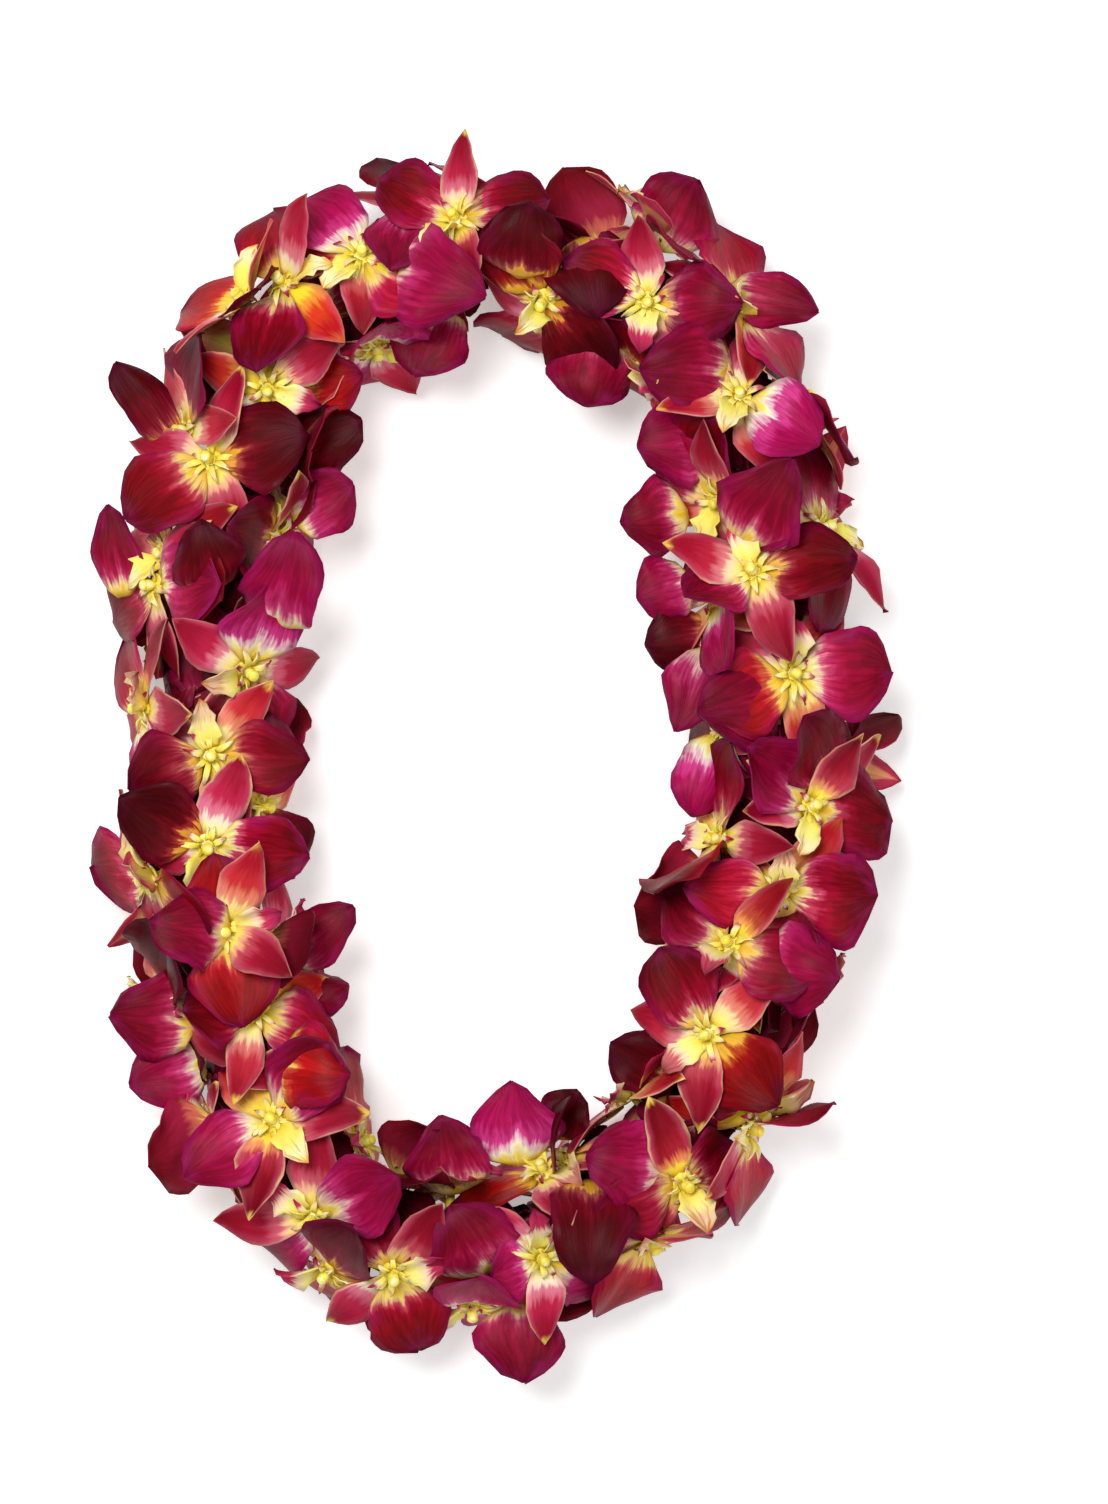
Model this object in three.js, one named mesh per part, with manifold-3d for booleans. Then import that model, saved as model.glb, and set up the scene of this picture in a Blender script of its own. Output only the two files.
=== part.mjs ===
// A fresh flower lei: orchid blooms strung all round one thread and laid down as an oval.
// Millimetres and degrees, +Z up. The lei lies on z = 0, and its long way is along Y.

import * as THREE from 'three';
import { mergeVertices } from 'three/addons/utils/BufferGeometryUtils.js';
import Module from 'manifold-3d';

const wasm = await Module();
wasm.setup();

// The thread, and the knot with two cut tails that closes it

const threadHeight = 33;
const threadRadius = 0.7;
const threadSides = 4;
const knotRadius = 2.3;
const knotRoom = 8;
const knotTail = [2.7, 7.2, 4.5];

// The blooms: two to a node, which share one straight stretch of the thread

const bloomCount = 84;
const bloomsPerNode = 2;
const heartReach = 22;
const heartReachBelow = 17;
const heartReachSpread = 4;
const leanSpread = 0.45;
const smallestBloom = 0.92;
const largestBloom = 1.06;

// The whorl that the tepals grow from, the column in front of it and the neck behind it

const whorlRadius = 4.2;
const whorlThickness = 1.3;
const columnLength = 6;
const neckRadius = 1.9;
const neckSeat = 2;
const neckTurns = [40, 156, 260];

// The pierced bases pressed together round the thread

const sleeveRadius = 3.8;
const sleeveSides = 4;
const boreRadius = 1.6;
const boreSides = 4;
const sleeveGap = 1.2;

// Room kept between blooms, between the tepals of one bloom, and inside the whole lei

const clearance = 0.35;
const ownClearance = 0.15;
const greatestHeight = 73;
const greatestReach = 48;

const seed = 15;

// The thread's route as it lies, clockwise from the top of the oval seen from above, and the place on
// it of the middle of the whole lei

const middle = [5.2, 8.0];
const route = [
  [0, 188], [29, 184], [56, 176], [81, 156], [96, 128], [105, 98], [109, 65], [110, 31], [110, -2],
  [107, -35], [101, -67], [92, -100], [78, -131], [56, -158], [29, -173], [0, -179], [-31, -175],
  [-57, -160], [-77, -130], [-90, -102], [-98, -72], [-102, -39], [-103, -6], [-102, 28],
  [-100, 61], [-96, 95], [-88, 126], [-75, 154], [-56, 173], [-30, 185],
];
const stepsPerSpan = 12;

// The blooms whose hearts show from above: how far along the thread the heart lies, which way
// round the thread it faces (0 is up, 90 away from the middle of the oval), and where its top sepal
// points (0 is along the thread, 90 away from the middle)

const facesUp = [
  { along: 25, facing: -38, roll: 40 },
  { along: 65, facing: -5, roll: 108 },
  { along: 92, facing: 62, roll: 70 },
  { along: 115, facing: 5, roll: 130 },
  { along: 150, facing: -48, roll: 138 },
  { along: 180, facing: -20, roll: 18 },
  { along: 218, facing: 12, roll: 8 },
  { along: 266, facing: 30, roll: 160 },
  { along: 297, facing: 12, roll: 17 },
  { along: 320, facing: -24, roll: 165 },
  { along: 355, facing: -20, roll: 145 },
  { along: 382, facing: 70, roll: 100 },
  { along: 408, facing: 30, roll: 240 },
  { along: 441, facing: -75, roll: 265 },
  { along: 462, facing: 15, roll: 80 },
  { along: 513, facing: 30, roll: 42 },
  { along: 545, facing: 20, roll: 168 },
  { along: 580, facing: 0, roll: 11 },
  { along: 621, facing: -25, roll: 150 },
  { along: 654, facing: -12, roll: 100 },
  { along: 686, facing: -5, roll: -18 },
  { along: 719, facing: -8, roll: 190 },
  { along: 751, facing: -40, roll: -80 },
  { along: 792, facing: 55, roll: -50 },
  { along: 826, facing: 20, roll: 225 },
  { along: 858, facing: -10, roll: 100 },
  { along: 889, facing: 38, roll: 150 },
  { along: 917, facing: 20, roll: 30 },
  { along: 952, facing: 35, roll: 60 },
];

// The blooms between them face the two sides and the surface below, in this order

const facesBetween = [78, -70, 145, 70, -78, -145];
const facingSpread = 20;

// The tepals: length, half the greatest width, lift at the root, curl towards the tip, how far the
// margins cup and wave, where along the tepal its sections lie, and the two powers of its outline

const sepal = {
  length: 33,
  halfWidth: 8.6,
  lift: 3,
  curl: -24,
  cup: 0.12,
  wave: 0.8,
  stations: [0.4, 0.75],
  outline: [0.8, 0.8],
};
const petal = {
  length: 34,
  halfWidth: 16.6,
  lift: 16,
  curl: -30,
  cup: 0.06,
  wave: 1.5,
  stations: [0.28, 0.6, 0.88],
  outline: [1.12, 0.55],
};
const lip = {
  length: 20,
  halfWidth: 6.5,
  lift: 46,
  curl: -62,
  cup: 0.5,
  wave: 0.8,
  stations: [0.4, 0.75],
  outline: [0.9, 0.7],
};

// Where each tepal of a bloom points, round from its top sepal, and where it meets the next

const tepals = [
  { ...sepal, turn: 0, corner: 40 },
  { ...petal, turn: 80, corner: 106 },
  { ...sepal, turn: 132, corner: 156 },
  { ...lip, turn: 180, corner: 204 },
  { ...sepal, turn: 228, corner: 254 },
  { ...petal, turn: 280, corner: 320 },
];
const placingOrder = [1, 5, 0, 3, 2, 4];

// How much a tepal may be bent, twisted, turned aside or shortened to lie clear of the others

const bends = [0, 7, -7, 14, -14, 22, -22, 31, -31, 42, -42, 54, 66];
const twists = [0, 16, -16];
const asides = [0, 9, -9, 18, -18];
const shares = [1, 0.88, 0.76, 0.64, 0.52];

const radians = Math.PI / 180;
const up = new THREE.Vector3(0, 0, 1);

function between(low, high, index, channel) {
  const x = Math.sin(index * 12.9898 + channel * 78.233 + seed) * 43758.5453;
  return low + (high - low) * (x - Math.floor(x));
}

// The route as a closed chain of points, each with the length run so far

function catmullRom(a, b, c, d, t) {
  const bend = (2 * a - 5 * b + 4 * c - d) * t ** 2 + (3 * b - a - 3 * c + d) * t ** 3;
  return 0.5 * (2 * b + (c - a) * t + bend);
}

const chain = [];
for (let i = 0; i < route.length; i += 1) {
  const near = [-1, 0, 1, 2].map((step) => route[(i + step + route.length) % route.length]);
  for (let j = 0; j < stepsPerSpan; j += 1) {
    const [x, y] = [0, 1].map((axis) => catmullRom(...near.map((point) => point[axis]), j / stepsPerSpan));
    chain.push({ point: new THREE.Vector3(x - middle[0], y - middle[1], threadHeight), run: 0 });
  }
}
let routeLength = 0;
for (let i = 0; i < chain.length; i += 1) {
  chain[i].run = routeLength;
  routeLength += chain[i].point.distanceTo(chain[(i + 1) % chain.length].point);
}

function threadPoint(along) {
  let i = chain.length - 1;
  while (chain[i].run > along) i -= 1;
  const next = chain[(i + 1) % chain.length];
  const span = (i + 1 < chain.length ? next.run : routeLength) - chain[i].run;
  return chain[i].point.clone().lerp(next.point, (along - chain[i].run) / span);
}

// Where the straight stretches of thread meet

const pitch = (routeLength - knotRoom) / bloomCount;
const stretchCount = bloomCount / bloomsPerNode;
const stretchEnds = [];
for (let i = 0; i <= stretchCount; i += 1) {
  stretchEnds.push(threadPoint(knotRoom / 2 + i * bloomsPerNode * pitch));
}

// Closed solids, and the geometry of a finished one

function solidOf(vertices, triangles) {
  const vertProperties = new Float32Array(vertices.flatMap((v) => [v.x, v.y, v.z]));
  const triVerts = new Uint32Array(triangles.flat());
  return new wasm.Manifold(new wasm.Mesh({ numProp: 3, vertProperties, triVerts }));
}

function solidFromGeometry(geometry) {
  geometry.deleteAttribute('normal');
  geometry.deleteAttribute('uv');
  const merged = mergeVertices(geometry, 1e-4);
  const vertProperties = new Float32Array(merged.attributes.position.array);
  const triVerts = new Uint32Array(merged.index.array);
  return new wasm.Manifold(new wasm.Mesh({ numProp: 3, vertProperties, triVerts }));
}

// Each triangle is given from its second corner on, the start from which every solid's faces tell its
// inside from its outside

function geometryOf(solid) {
  const mesh = solid.getMesh();
  const index = new Uint32Array(mesh.triVerts.length);
  for (let i = 0; i < index.length; i += 3) {
    for (let j = 0; j < 3; j += 1) index[i + j] = mesh.triVerts[i + (j + 1) % 3];
  }
  const geometry = new THREE.BufferGeometry();
  geometry.setAttribute('position', new THREE.BufferAttribute(new Float32Array(mesh.vertProperties), 3));
  geometry.setIndex(new THREE.BufferAttribute(index, 1));
  geometry.computeVertexNormals();
  return geometry;
}

function boxRound(solid) {
  const { min, max } = solid.boundingBox();
  return new THREE.Box3(new THREE.Vector3(...min), new THREE.Vector3(...max)).expandByScalar(clearance);
}

// A straight prism between two points, with its first corner upwards or turned by part of a side

function prism(start, end, radius, sides, turned) {
  const axis = end.clone().sub(start).normalize();
  const first = up.clone().addScaledVector(axis, -up.dot(axis)).normalize();
  const second = axis.clone().cross(first);
  const vertices = [];
  for (const centre of [start, end]) {
    for (let i = 0; i < sides; i += 1) {
      const angle = 2 * Math.PI * (i + turned) / sides;
      vertices.push(centre.clone()
        .addScaledVector(first, radius * Math.cos(angle))
        .addScaledVector(second, radius * Math.sin(angle)));
    }
  }
  const triangles = [];
  for (let i = 0; i < sides; i += 1) {
    const j = (i + 1) % sides;
    triangles.push([i, j, sides + j], [i, sides + j, sides + i]);
  }
  for (let i = 1; i + 1 < sides; i += 1) {
    triangles.push([0, i + 1, i], [sides, sides + i, sides + i + 1]);
  }
  return solidOf(vertices, triangles);
}

// Where each bloom sits and which way it faces

function bloomAt(index, facing, roll, along) {
  const stretch = Math.floor(index / bloomsPerNode);
  const [start, end] = [stretchEnds[stretch], stretchEnds[stretch + 1]];
  const base = start.clone().lerp(end, (index % bloomsPerNode + 0.5) / bloomsPerNode);
  const forward = end.clone().sub(start).normalize();
  const outward = up.clone().cross(forward);
  const turn = facing * radians;
  const face = up.clone().multiplyScalar(Math.cos(turn)).addScaledVector(outward, Math.sin(turn));
  const below = Math.max(0, -Math.cos(turn));
  const spread = between(-heartReachSpread, heartReachSpread, index, 1) / 2;
  const reach = heartReach + (heartReachBelow - heartReach) * below + spread;
  const slide = along - (knotRoom / 2 + (index + 0.5) * pitch);
  const heart = base.clone()
    .addScaledVector(face, reach)
    .addScaledVector(forward, THREE.MathUtils.clamp(slide, -pitch / 2, pitch / 2));
  const lean = between(-leanSpread, leanSpread, index, 2);
  const front = face.clone().addScaledVector(forward, lean).normalize();
  const across = forward.clone().addScaledVector(front, -forward.dot(front)).normalize();
  const side = front.clone().cross(across);
  const size = between(smallestBloom, largestBloom, index, 3);
  return { index, facing, roll, base, outward, face, heart, front, across, side, size, blades: [] };
}

const blooms = [];
for (const { along, facing, roll } of facesUp) {
  const index = Math.round((along - knotRoom / 2) / pitch - 0.5);
  blooms[index] = bloomAt(index, facing, roll, along);
}
const showing = blooms.filter(Boolean);
const hidden = [];
for (let index = 0; index < bloomCount; index += 1) {
  if (blooms[index]) continue;
  const turn = facesBetween[hidden.length % facesBetween.length];
  const facing = turn + between(-facingSpread, facingSpread, index, 4);
  const along = knotRoom / 2 + (index + between(0.3, 0.7, index, 5)) * pitch;
  blooms[index] = bloomAt(index, facing, between(0, 360, index, 6), along);
  hidden.push(blooms[index]);
}
hidden.sort((a, b) => Math.abs(a.facing) - Math.abs(b.facing));

// A direction out from a bloom's middle, in the plane that it faces out of

function ray(bloom, turn) {
  const angle = (bloom.roll + turn) * radians;
  return bloom.across.clone().multiplyScalar(Math.cos(angle)).addScaledVector(bloom.side, Math.sin(angle));
}

function aboveSurface(point) {
  point.z = Math.max(point.z, 0);
  return point;
}

// One tepal as an arc out of the whorl, with a rib down its middle and thin waved margins. Each
// section goes round left margin, front rib, right margin, back rib.

function tepalBlade(bloom, number, choice) {
  const shape = tepals[number];
  const drawn = (spread, channel) => between(-spread, spread, bloom.index, channel + number);
  const length = shape.length * bloom.size * choice.share;
  const width = shape.halfWidth * bloom.size * (1 + choice.share) / 2;
  const outward = ray(bloom, shape.turn + choice.aside + drawn(5, 10));
  const across = bloom.front.clone().cross(outward);
  const lift = (shape.lift + choice.bend + drawn(6, 20)) * radians;
  const curl = (shape.curl + drawn(12, 30)) * radians;
  const twist = (choice.twist + drawn(8, 40)) * radians;
  const phase = Math.PI + drawn(Math.PI, 50);
  const root = bloom.heart.clone().addScaledVector(outward, whorlRadius * 0.8);

  const spineAt = (u) => {
    const angle = lift + curl * u;
    return root.clone()
      .addScaledVector(outward, length * (Math.sin(angle) - Math.sin(lift)) / curl)
      .addScaledVector(bloom.front, length * (Math.cos(lift) - Math.cos(angle)) / curl);
  };

  const sectionAt = (u) => {
    const [angle, turn] = [lift + curl * u, twist * u];
    const spine = spineAt(u);
    const normal = bloom.front.clone()
      .multiplyScalar(Math.cos(angle))
      .addScaledVector(outward, -Math.sin(angle));
    const flat = across.clone().multiplyScalar(Math.cos(turn)).addScaledVector(normal, Math.sin(turn));
    normal.multiplyScalar(Math.cos(turn)).addScaledVector(across, -Math.sin(turn));
    const half = width * Math.sin(Math.PI * u ** shape.outline[0]) ** shape.outline[1];
    const margin = (way) => {
      const rise = shape.cup * half + shape.wave * Math.sin(2.2 * Math.PI * u + phase + way);
      return aboveSurface(spine.clone().addScaledVector(flat, way * half).addScaledVector(normal, rise));
    };
    const rib = [1, -1].map((way) => spine.clone().addScaledVector(normal, way * whorlThickness / 2));
    const sunk = Math.max(0, -rib[0].z, -rib[1].z);
    for (const point of rib) point.z += sunk;
    return [margin(1), rib[0], margin(-1), rib[1]];
  };

  return { sections: shape.stations.map(sectionAt), tip: aboveSurface(spineAt(1)) };
}

// A blade's skin, split along the same diagonals in front and behind, so that the two sides never cross

function bladeSkin(sectionCount) {
  const triangles = [];
  for (let first = 0; first + 4 < sectionCount * 4; first += 4) {
    for (let j = 0; j < 4; j += 1) {
      const [a, b] = [first + j, first + (j + 1) % 4];
      if (j % 2 === 0) triangles.push([a, b, b + 4], [a, b + 4, a + 4]);
      else triangles.push([a, b, a + 4], [b, b + 4, a + 4]);
    }
  }
  const last = (sectionCount - 1) * 4;
  for (let j = 0; j < 4; j += 1) triangles.push([last + j, last + (j + 1) % 4, last + 4]);
  return triangles;
}

function bladeSolid(sections, tip) {
  const triangles = bladeSkin(sections.length);
  triangles.push([0, 3, 2], [0, 2, 1]);
  return solidOf([...sections.flat(), tip], triangles);
}

// The whorl: a corner shared by each two tepals, and a rib end in front and behind for each tepal

function whorlCorner(bloom, number) {
  return bloom.heart.clone().addScaledVector(ray(bloom, tepals[number].corner), whorlRadius * bloom.size);
}

function whorlRib(bloom, number, way) {
  return bloom.heart.clone()
    .addScaledVector(ray(bloom, tepals[number].turn), whorlRadius * bloom.size * 0.95)
    .addScaledVector(bloom.front, way * whorlThickness / 2);
}

function before(number) {
  return (number + tepals.length - 1) % tepals.length;
}

function rootSection(bloom, number) {
  const [left, right] = [whorlCorner(bloom, number), whorlCorner(bloom, before(number))];
  return [left, whorlRib(bloom, number, 1), right, whorlRib(bloom, number, -1)];
}

// The column ends in a blunt point, and the neck narrows to three sides inside the pierced base

function columnTip(bloom) {
  return bloom.heart.clone().addScaledVector(bloom.front, columnLength * bloom.size);
}

function neckEnd(bloom) {
  const axis = bloom.heart.clone().sub(bloom.base).normalize();
  const first = ray(bloom, 0).addScaledVector(axis, -ray(bloom, 0).dot(axis)).normalize();
  const second = axis.clone().cross(first);
  const centre = bloom.base.clone().addScaledVector(bloom.face, neckSeat);
  return neckTurns.map((turn) => centre.clone()
    .addScaledVector(first, neckRadius * Math.cos(turn * radians))
    .addScaledVector(second, neckRadius * Math.sin(turn * radians)));
}

// The whole bloom in one closed skin. With no blades it is the core that the other blooms' tepals
// keep clear of.

function bloomSolid(bloom, blades) {
  const vertices = [];
  const triangles = [];
  const add = (points) => vertices.push(...points) - points.length;
  const corners = add(tepals.map((_, number) => whorlCorner(bloom, number)));
  const fronts = add(tepals.map((_, number) => whorlRib(bloom, number, 1)));
  const backs = add(tepals.map((_, number) => whorlRib(bloom, number, -1)));
  const tip = add([columnTip(bloom)]);
  const neck = add(neckEnd(bloom));
  const neckOf = (number) => neck + Math.floor(number * neckTurns.length / tepals.length);
  for (let number = 0; number < tepals.length; number += 1) {
    const [left, right] = [corners + number, corners + before(number)];
    const [front, back] = [fronts + number, backs + number];
    if (blades[number]) {
      const { sections, tip: bladeTip } = blades[number];
      const first = add([...sections.flat(), bladeTip]);
      const root = [left, front, right, back];
      const place = (index) => (index < 4 ? root[index] : first + index - 4);
      triangles.push(...bladeSkin(sections.length + 1).map((triangle) => triangle.map(place)));
    } else {
      triangles.push([left, front, right], [left, right, back]);
    }
    triangles.push([tip, front, left], [tip, right, front]);
    triangles.push([neckOf(number), left, back], [neckOf(number), back, right]);
    const following = neckOf((number + 1) % tepals.length);
    if (following !== neckOf(number)) triangles.push([neckOf(number), following, left]);
  }
  triangles.push([neck, neck + 2, neck + 1]);
  return solidOf(vertices, triangles);
}

function sleeveSolid(stretch) {
  const [start, end] = [stretchEnds[stretch], stretchEnds[stretch + 1]];
  const trim = sleeveGap / 2 / start.distanceTo(end);
  const [low, high] = [start.clone().lerp(end, trim), end.clone().lerp(start, trim)];
  const outer = prism(low, high, sleeveRadius, sleeveSides, 0);
  return outer.subtract(prism(start, end, boreRadius, boreSides, 0.5));
}

// The knot's two tails lie up and away from the middle

function knotSolids() {
  const tie = stretchEnds[0].clone().add(stretchEnds[stretchCount]).multiplyScalar(0.5);
  const ball = new THREE.OctahedronGeometry(knotRadius, 1).translate(tie.x, tie.y, tie.z);
  const tails = [-1, 1].map((way) => {
    const [aside, outward, rise] = knotTail;
    const end = tie.clone().add(new THREE.Vector3(way * aside, outward, rise));
    return prism(tie, end, threadRadius, threadSides, 0);
  });
  return [solidFromGeometry(ball), ...tails];
}

// What is placed so far, which each new tepal keeps clear of: first the cores, the bases and the knot

const placed = [];

function keep(solid, bloom, outer) {
  placed.push({ solid, bloom, outer, box: boxRound(solid) });
}

for (const bloom of blooms) keep(bloomSolid(bloom, []), bloom);
for (let stretch = 0; stretch < stretchCount; stretch += 1) {
  keep(prism(stretchEnds[stretch], stretchEnds[stretch + 1], sleeveRadius, sleeveSides, 0));
}
for (const solid of knotSolids()) keep(solid);

function isInside(bloom, points) {
  const reach = (point) => Math.abs(point.clone().sub(bloom.base).dot(bloom.outward));
  return points.every((point) => point.z <= greatestHeight && reach(point) <= greatestReach);
}

function isClear(bloom, number, blade) {
  const root = rootSection(bloom, number);
  const points = [...root, ...blade.sections.flat(), blade.tip];
  if (!isInside(bloom, points)) return false;
  const box = new THREE.Box3().setFromPoints(points);
  const near = placed.filter((other) => {
    const ownCore = other.bloom === bloom && !other.outer;
    return !ownCore && other.box.intersectsBox(box);
  });
  if (near.length === 0) return true;
  const outer = bladeSolid(blade.sections, blade.tip);
  const whole = bladeSolid([root, ...blade.sections], blade.tip);
  const clear = near.every((other) => {
    if (other.bloom !== bloom) return whole.minGap(other.solid, clearance) >= clearance;
    return outer.minGap(other.solid, ownClearance) >= ownClearance
      && whole.minGap(other.outer, ownClearance) >= ownClearance
      && whole.intersect(other.solid).volume() < 1e-3;
  });
  outer.delete();
  whole.delete();
  return clear;
}

// The choices for a tepal, from the least change to the greatest

const choices = [];
for (const share of shares) {
  for (const bend of bends) {
    for (const aside of asides) {
      for (const twist of twists) {
        const change = Math.abs(bend) + Math.abs(aside) + Math.abs(twist) / 2 + 90 * (1 - share);
        choices.push({ share, bend, aside, twist, change });
      }
    }
  }
}
choices.sort((a, b) => a.change - b.change);

// Tepals are placed one by one, the petals and the blooms that show before the rest. One that fits
// nowhere is missing, as torn ones are on a real lei.

for (const number of placingOrder) {
  for (const bloom of [...showing, ...hidden]) {
    const choice = choices.find((option) => isClear(bloom, number, tepalBlade(bloom, number, option)));
    if (!choice) continue;
    const blade = tepalBlade(bloom, number, choice);
    bloom.blades[number] = blade;
    const whole = bladeSolid([rootSection(bloom, number), ...blade.sections], blade.tip);
    keep(whole, bloom, bladeSolid(blade.sections, blade.tip));
  }
}

// The thread: one ring of corners at each end of each stretch

function threadSolid() {
  const rings = stretchEnds.length;
  const vertices = [];
  const triangles = [];
  for (let i = 0; i < rings; i += 1) {
    const next = (i + 1) % rings;
    const axis = stretchEnds[next].clone().sub(stretchEnds[(i + rings - 1) % rings]).normalize();
    const side = up.clone().cross(axis);
    for (let j = 0; j < threadSides; j += 1) {
      const angle = 2 * Math.PI * j / threadSides;
      vertices.push(stretchEnds[i].clone()
        .addScaledVector(up, threadRadius * Math.cos(angle))
        .addScaledVector(side, threadRadius * Math.sin(angle)));
      const [a, b] = [i, next].map((ring) => ring * threadSides + j);
      const [c, d] = [i, next].map((ring) => ring * threadSides + (j + 1) % threadSides);
      triangles.push([a, d, c], [a, b, d]);
    }
  }
  return solidOf(vertices, triangles);
}

// The finished pieces

const bloomColours = ['#8c1432', '#7a1030', '#9a1c44'];
const threadColour = '#efe6cf';

const group = new THREE.Group();

for (let stretch = 0; stretch < stretchCount; stretch += 1) {
  let solid = sleeveSolid(stretch);
  for (const bloom of blooms.slice(stretch * bloomsPerNode, (stretch + 1) * bloomsPerNode)) {
    solid = solid.add(bloomSolid(bloom, bloom.blades));
  }
  const color = bloomColours[stretch % bloomColours.length];
  const material = new THREE.MeshStandardMaterial({ color, roughness: 0.6, metalness: 0 });
  const mesh = new THREE.Mesh(geometryOf(solid), material);
  mesh.name = `blooms_${String(stretch + 1).padStart(2, '0')}`;
  group.add(mesh);
}

const closedThread = knotSolids().reduce((solid, piece) => solid.add(piece), threadSolid());
const cotton = new THREE.MeshStandardMaterial({ color: threadColour, roughness: 0.85, metalness: 0 });
const thread = new THREE.Mesh(geometryOf(closedThread), cotton);
thread.name = 'thread';
group.add(thread);

export default group;
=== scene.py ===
# A fresh flower lei: dendrobium orchid blooms strung all round one cotton thread and laid down as an
# oval. The fine blooms grow over the CAD ones, each tepal in the place that the CAD one has.

import math

import bpy
import numpy as np
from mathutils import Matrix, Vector
from mathutils.bvhtree import BVHTree


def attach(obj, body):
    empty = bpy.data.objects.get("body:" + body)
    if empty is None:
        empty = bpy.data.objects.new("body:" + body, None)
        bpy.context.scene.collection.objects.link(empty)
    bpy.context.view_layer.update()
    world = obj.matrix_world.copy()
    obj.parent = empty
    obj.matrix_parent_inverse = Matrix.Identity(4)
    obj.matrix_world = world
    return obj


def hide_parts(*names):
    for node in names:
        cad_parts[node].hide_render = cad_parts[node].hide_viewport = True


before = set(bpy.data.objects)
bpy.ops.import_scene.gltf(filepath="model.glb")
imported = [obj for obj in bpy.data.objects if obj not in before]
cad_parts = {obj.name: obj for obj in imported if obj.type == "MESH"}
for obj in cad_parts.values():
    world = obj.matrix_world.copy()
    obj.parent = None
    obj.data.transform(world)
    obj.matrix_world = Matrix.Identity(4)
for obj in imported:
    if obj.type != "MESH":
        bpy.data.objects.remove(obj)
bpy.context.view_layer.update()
print("frame loaded")

mm = 0.001

# camera: straight above, as in the photo, with a long lens
camera = {
    "target": (21.5, -3.2, 40),  # what is at the middle of the picture
    "distance": 1700,
    "seenHeight": 557,  # of the picture, at the target
    "sensor": 36,
    "clipEnd": 20,  # metres
}
cameraData = bpy.data.cameras.new("straight above")
cameraData.sensor_width = camera["sensor"]
cameraData.lens = camera["sensor"] * camera["distance"] / camera["seenHeight"]
cameraData.clip_end = camera["clipEnd"]
cameraObject = bpy.data.objects.new("straight above", cameraData)
bpy.context.scene.collection.objects.link(cameraObject)
cameraObject.location = Vector(camera["target"]) * mm + Vector((0, 0, camera["distance"] * mm))
bpy.context.scene.camera = cameraObject


# how the lei lies, repeated from the part's source, in millimetres and degrees

lei = {
    "threadHeight": 33,
    "knotRoom": 8,
    "bloomCount": 84,
    "bloomsPerNode": 2,
    "heartReach": 22,
    "heartReachBelow": 17,
    "heartReachSpread": 4,
    "leanSpread": 0.45,
    "smallestBloom": 0.92,
    "largestBloom": 1.06,
    "whorlRadius": 4.2,
    "rootSeat": 0.8,  # of the whorl's radius, where the tepals' roots lie
    "turnSpread": 5,
    "liftSpread": 6,
    "curlSpread": 12,
    "twistSpread": 8,
    "neckSeat": 2,
    "seed": 15,
    "middle": (5.2, 8.0),
    "stepsPerSpan": 12,
    "facesBetween": (78, -70, 145, 70, -78, -145),
    "facingSpread": 20,
    "placeSpread": (0.3, 0.7),
}
route = [
    (0, 188), (29, 184), (56, 176), (81, 156), (96, 128), (105, 98), (109, 65), (110, 31), (110, -2),
    (107, -35), (101, -67), (92, -100), (78, -131), (56, -158), (29, -173), (0, -179), (-31, -175),
    (-57, -160), (-77, -130), (-90, -102), (-98, -72), (-102, -39), (-103, -6), (-102, 28),
    (-100, 61), (-96, 95), (-88, 126), (-75, 154), (-56, 173), (-30, 185),
]
# the blooms that face up: how far along the thread, which way round it, and where the top sepal points
facesUp = [
    (25, -38, 40), (65, -5, 108), (92, 62, 70), (115, 5, 130), (150, -48, 138), (180, -20, 18),
    (218, 12, 8), (266, 30, 160), (297, 12, 17), (320, -24, 165), (355, -20, 145), (382, 70, 100),
    (408, 30, 240), (441, -75, 265), (462, 15, 80), (513, 30, 42), (545, 20, 168), (580, 0, 11),
    (621, -25, 150), (654, -12, 100), (686, -5, -18), (719, -8, 190), (751, -40, -80), (792, 55, -50),
    (826, 20, 225), (858, -10, 100), (889, 38, 150), (917, 20, 30), (952, 35, 60),
]
sepal = {
    "kind": "sepal", "length": 33, "halfWidth": 8.6, "lift": 3, "curl": -24, "cup": 0.12, "wave": 0.8,
    "stations": (0.4, 0.75), "outline": (0.8, 0.8),
}
petal = {
    "kind": "petal", "length": 34, "halfWidth": 16.6, "lift": 16, "curl": -30, "cup": 0.06, "wave": 1.5,
    "stations": (0.28, 0.6, 0.88), "outline": (1.12, 0.55),
}
lip = {
    "kind": "lip", "length": 20, "halfWidth": 6.5, "lift": 46, "curl": -62, "cup": 0.5, "wave": 0.8,
    "stations": (0.4, 0.75), "outline": (0.9, 0.7),
}
tepals = [
    {**sepal, "turn": 0}, {**petal, "turn": 80}, {**sepal, "turn": 132},
    {**lip, "turn": 180}, {**sepal, "turn": 228}, {**petal, "turn": 280},
]
# how far a tepal may have been bent, twisted, turned aside or shortened to lie clear
changes = {
    "bend": (0, 7, -7, 14, -14, 22, -22, 31, -31, 42, -42, 54, 66),
    "twist": (0, 16, -16),
    "aside": (0, 9, -9, 18, -18),
    "share": (1, 0.88, 0.76, 0.64, 0.52),
}
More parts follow.
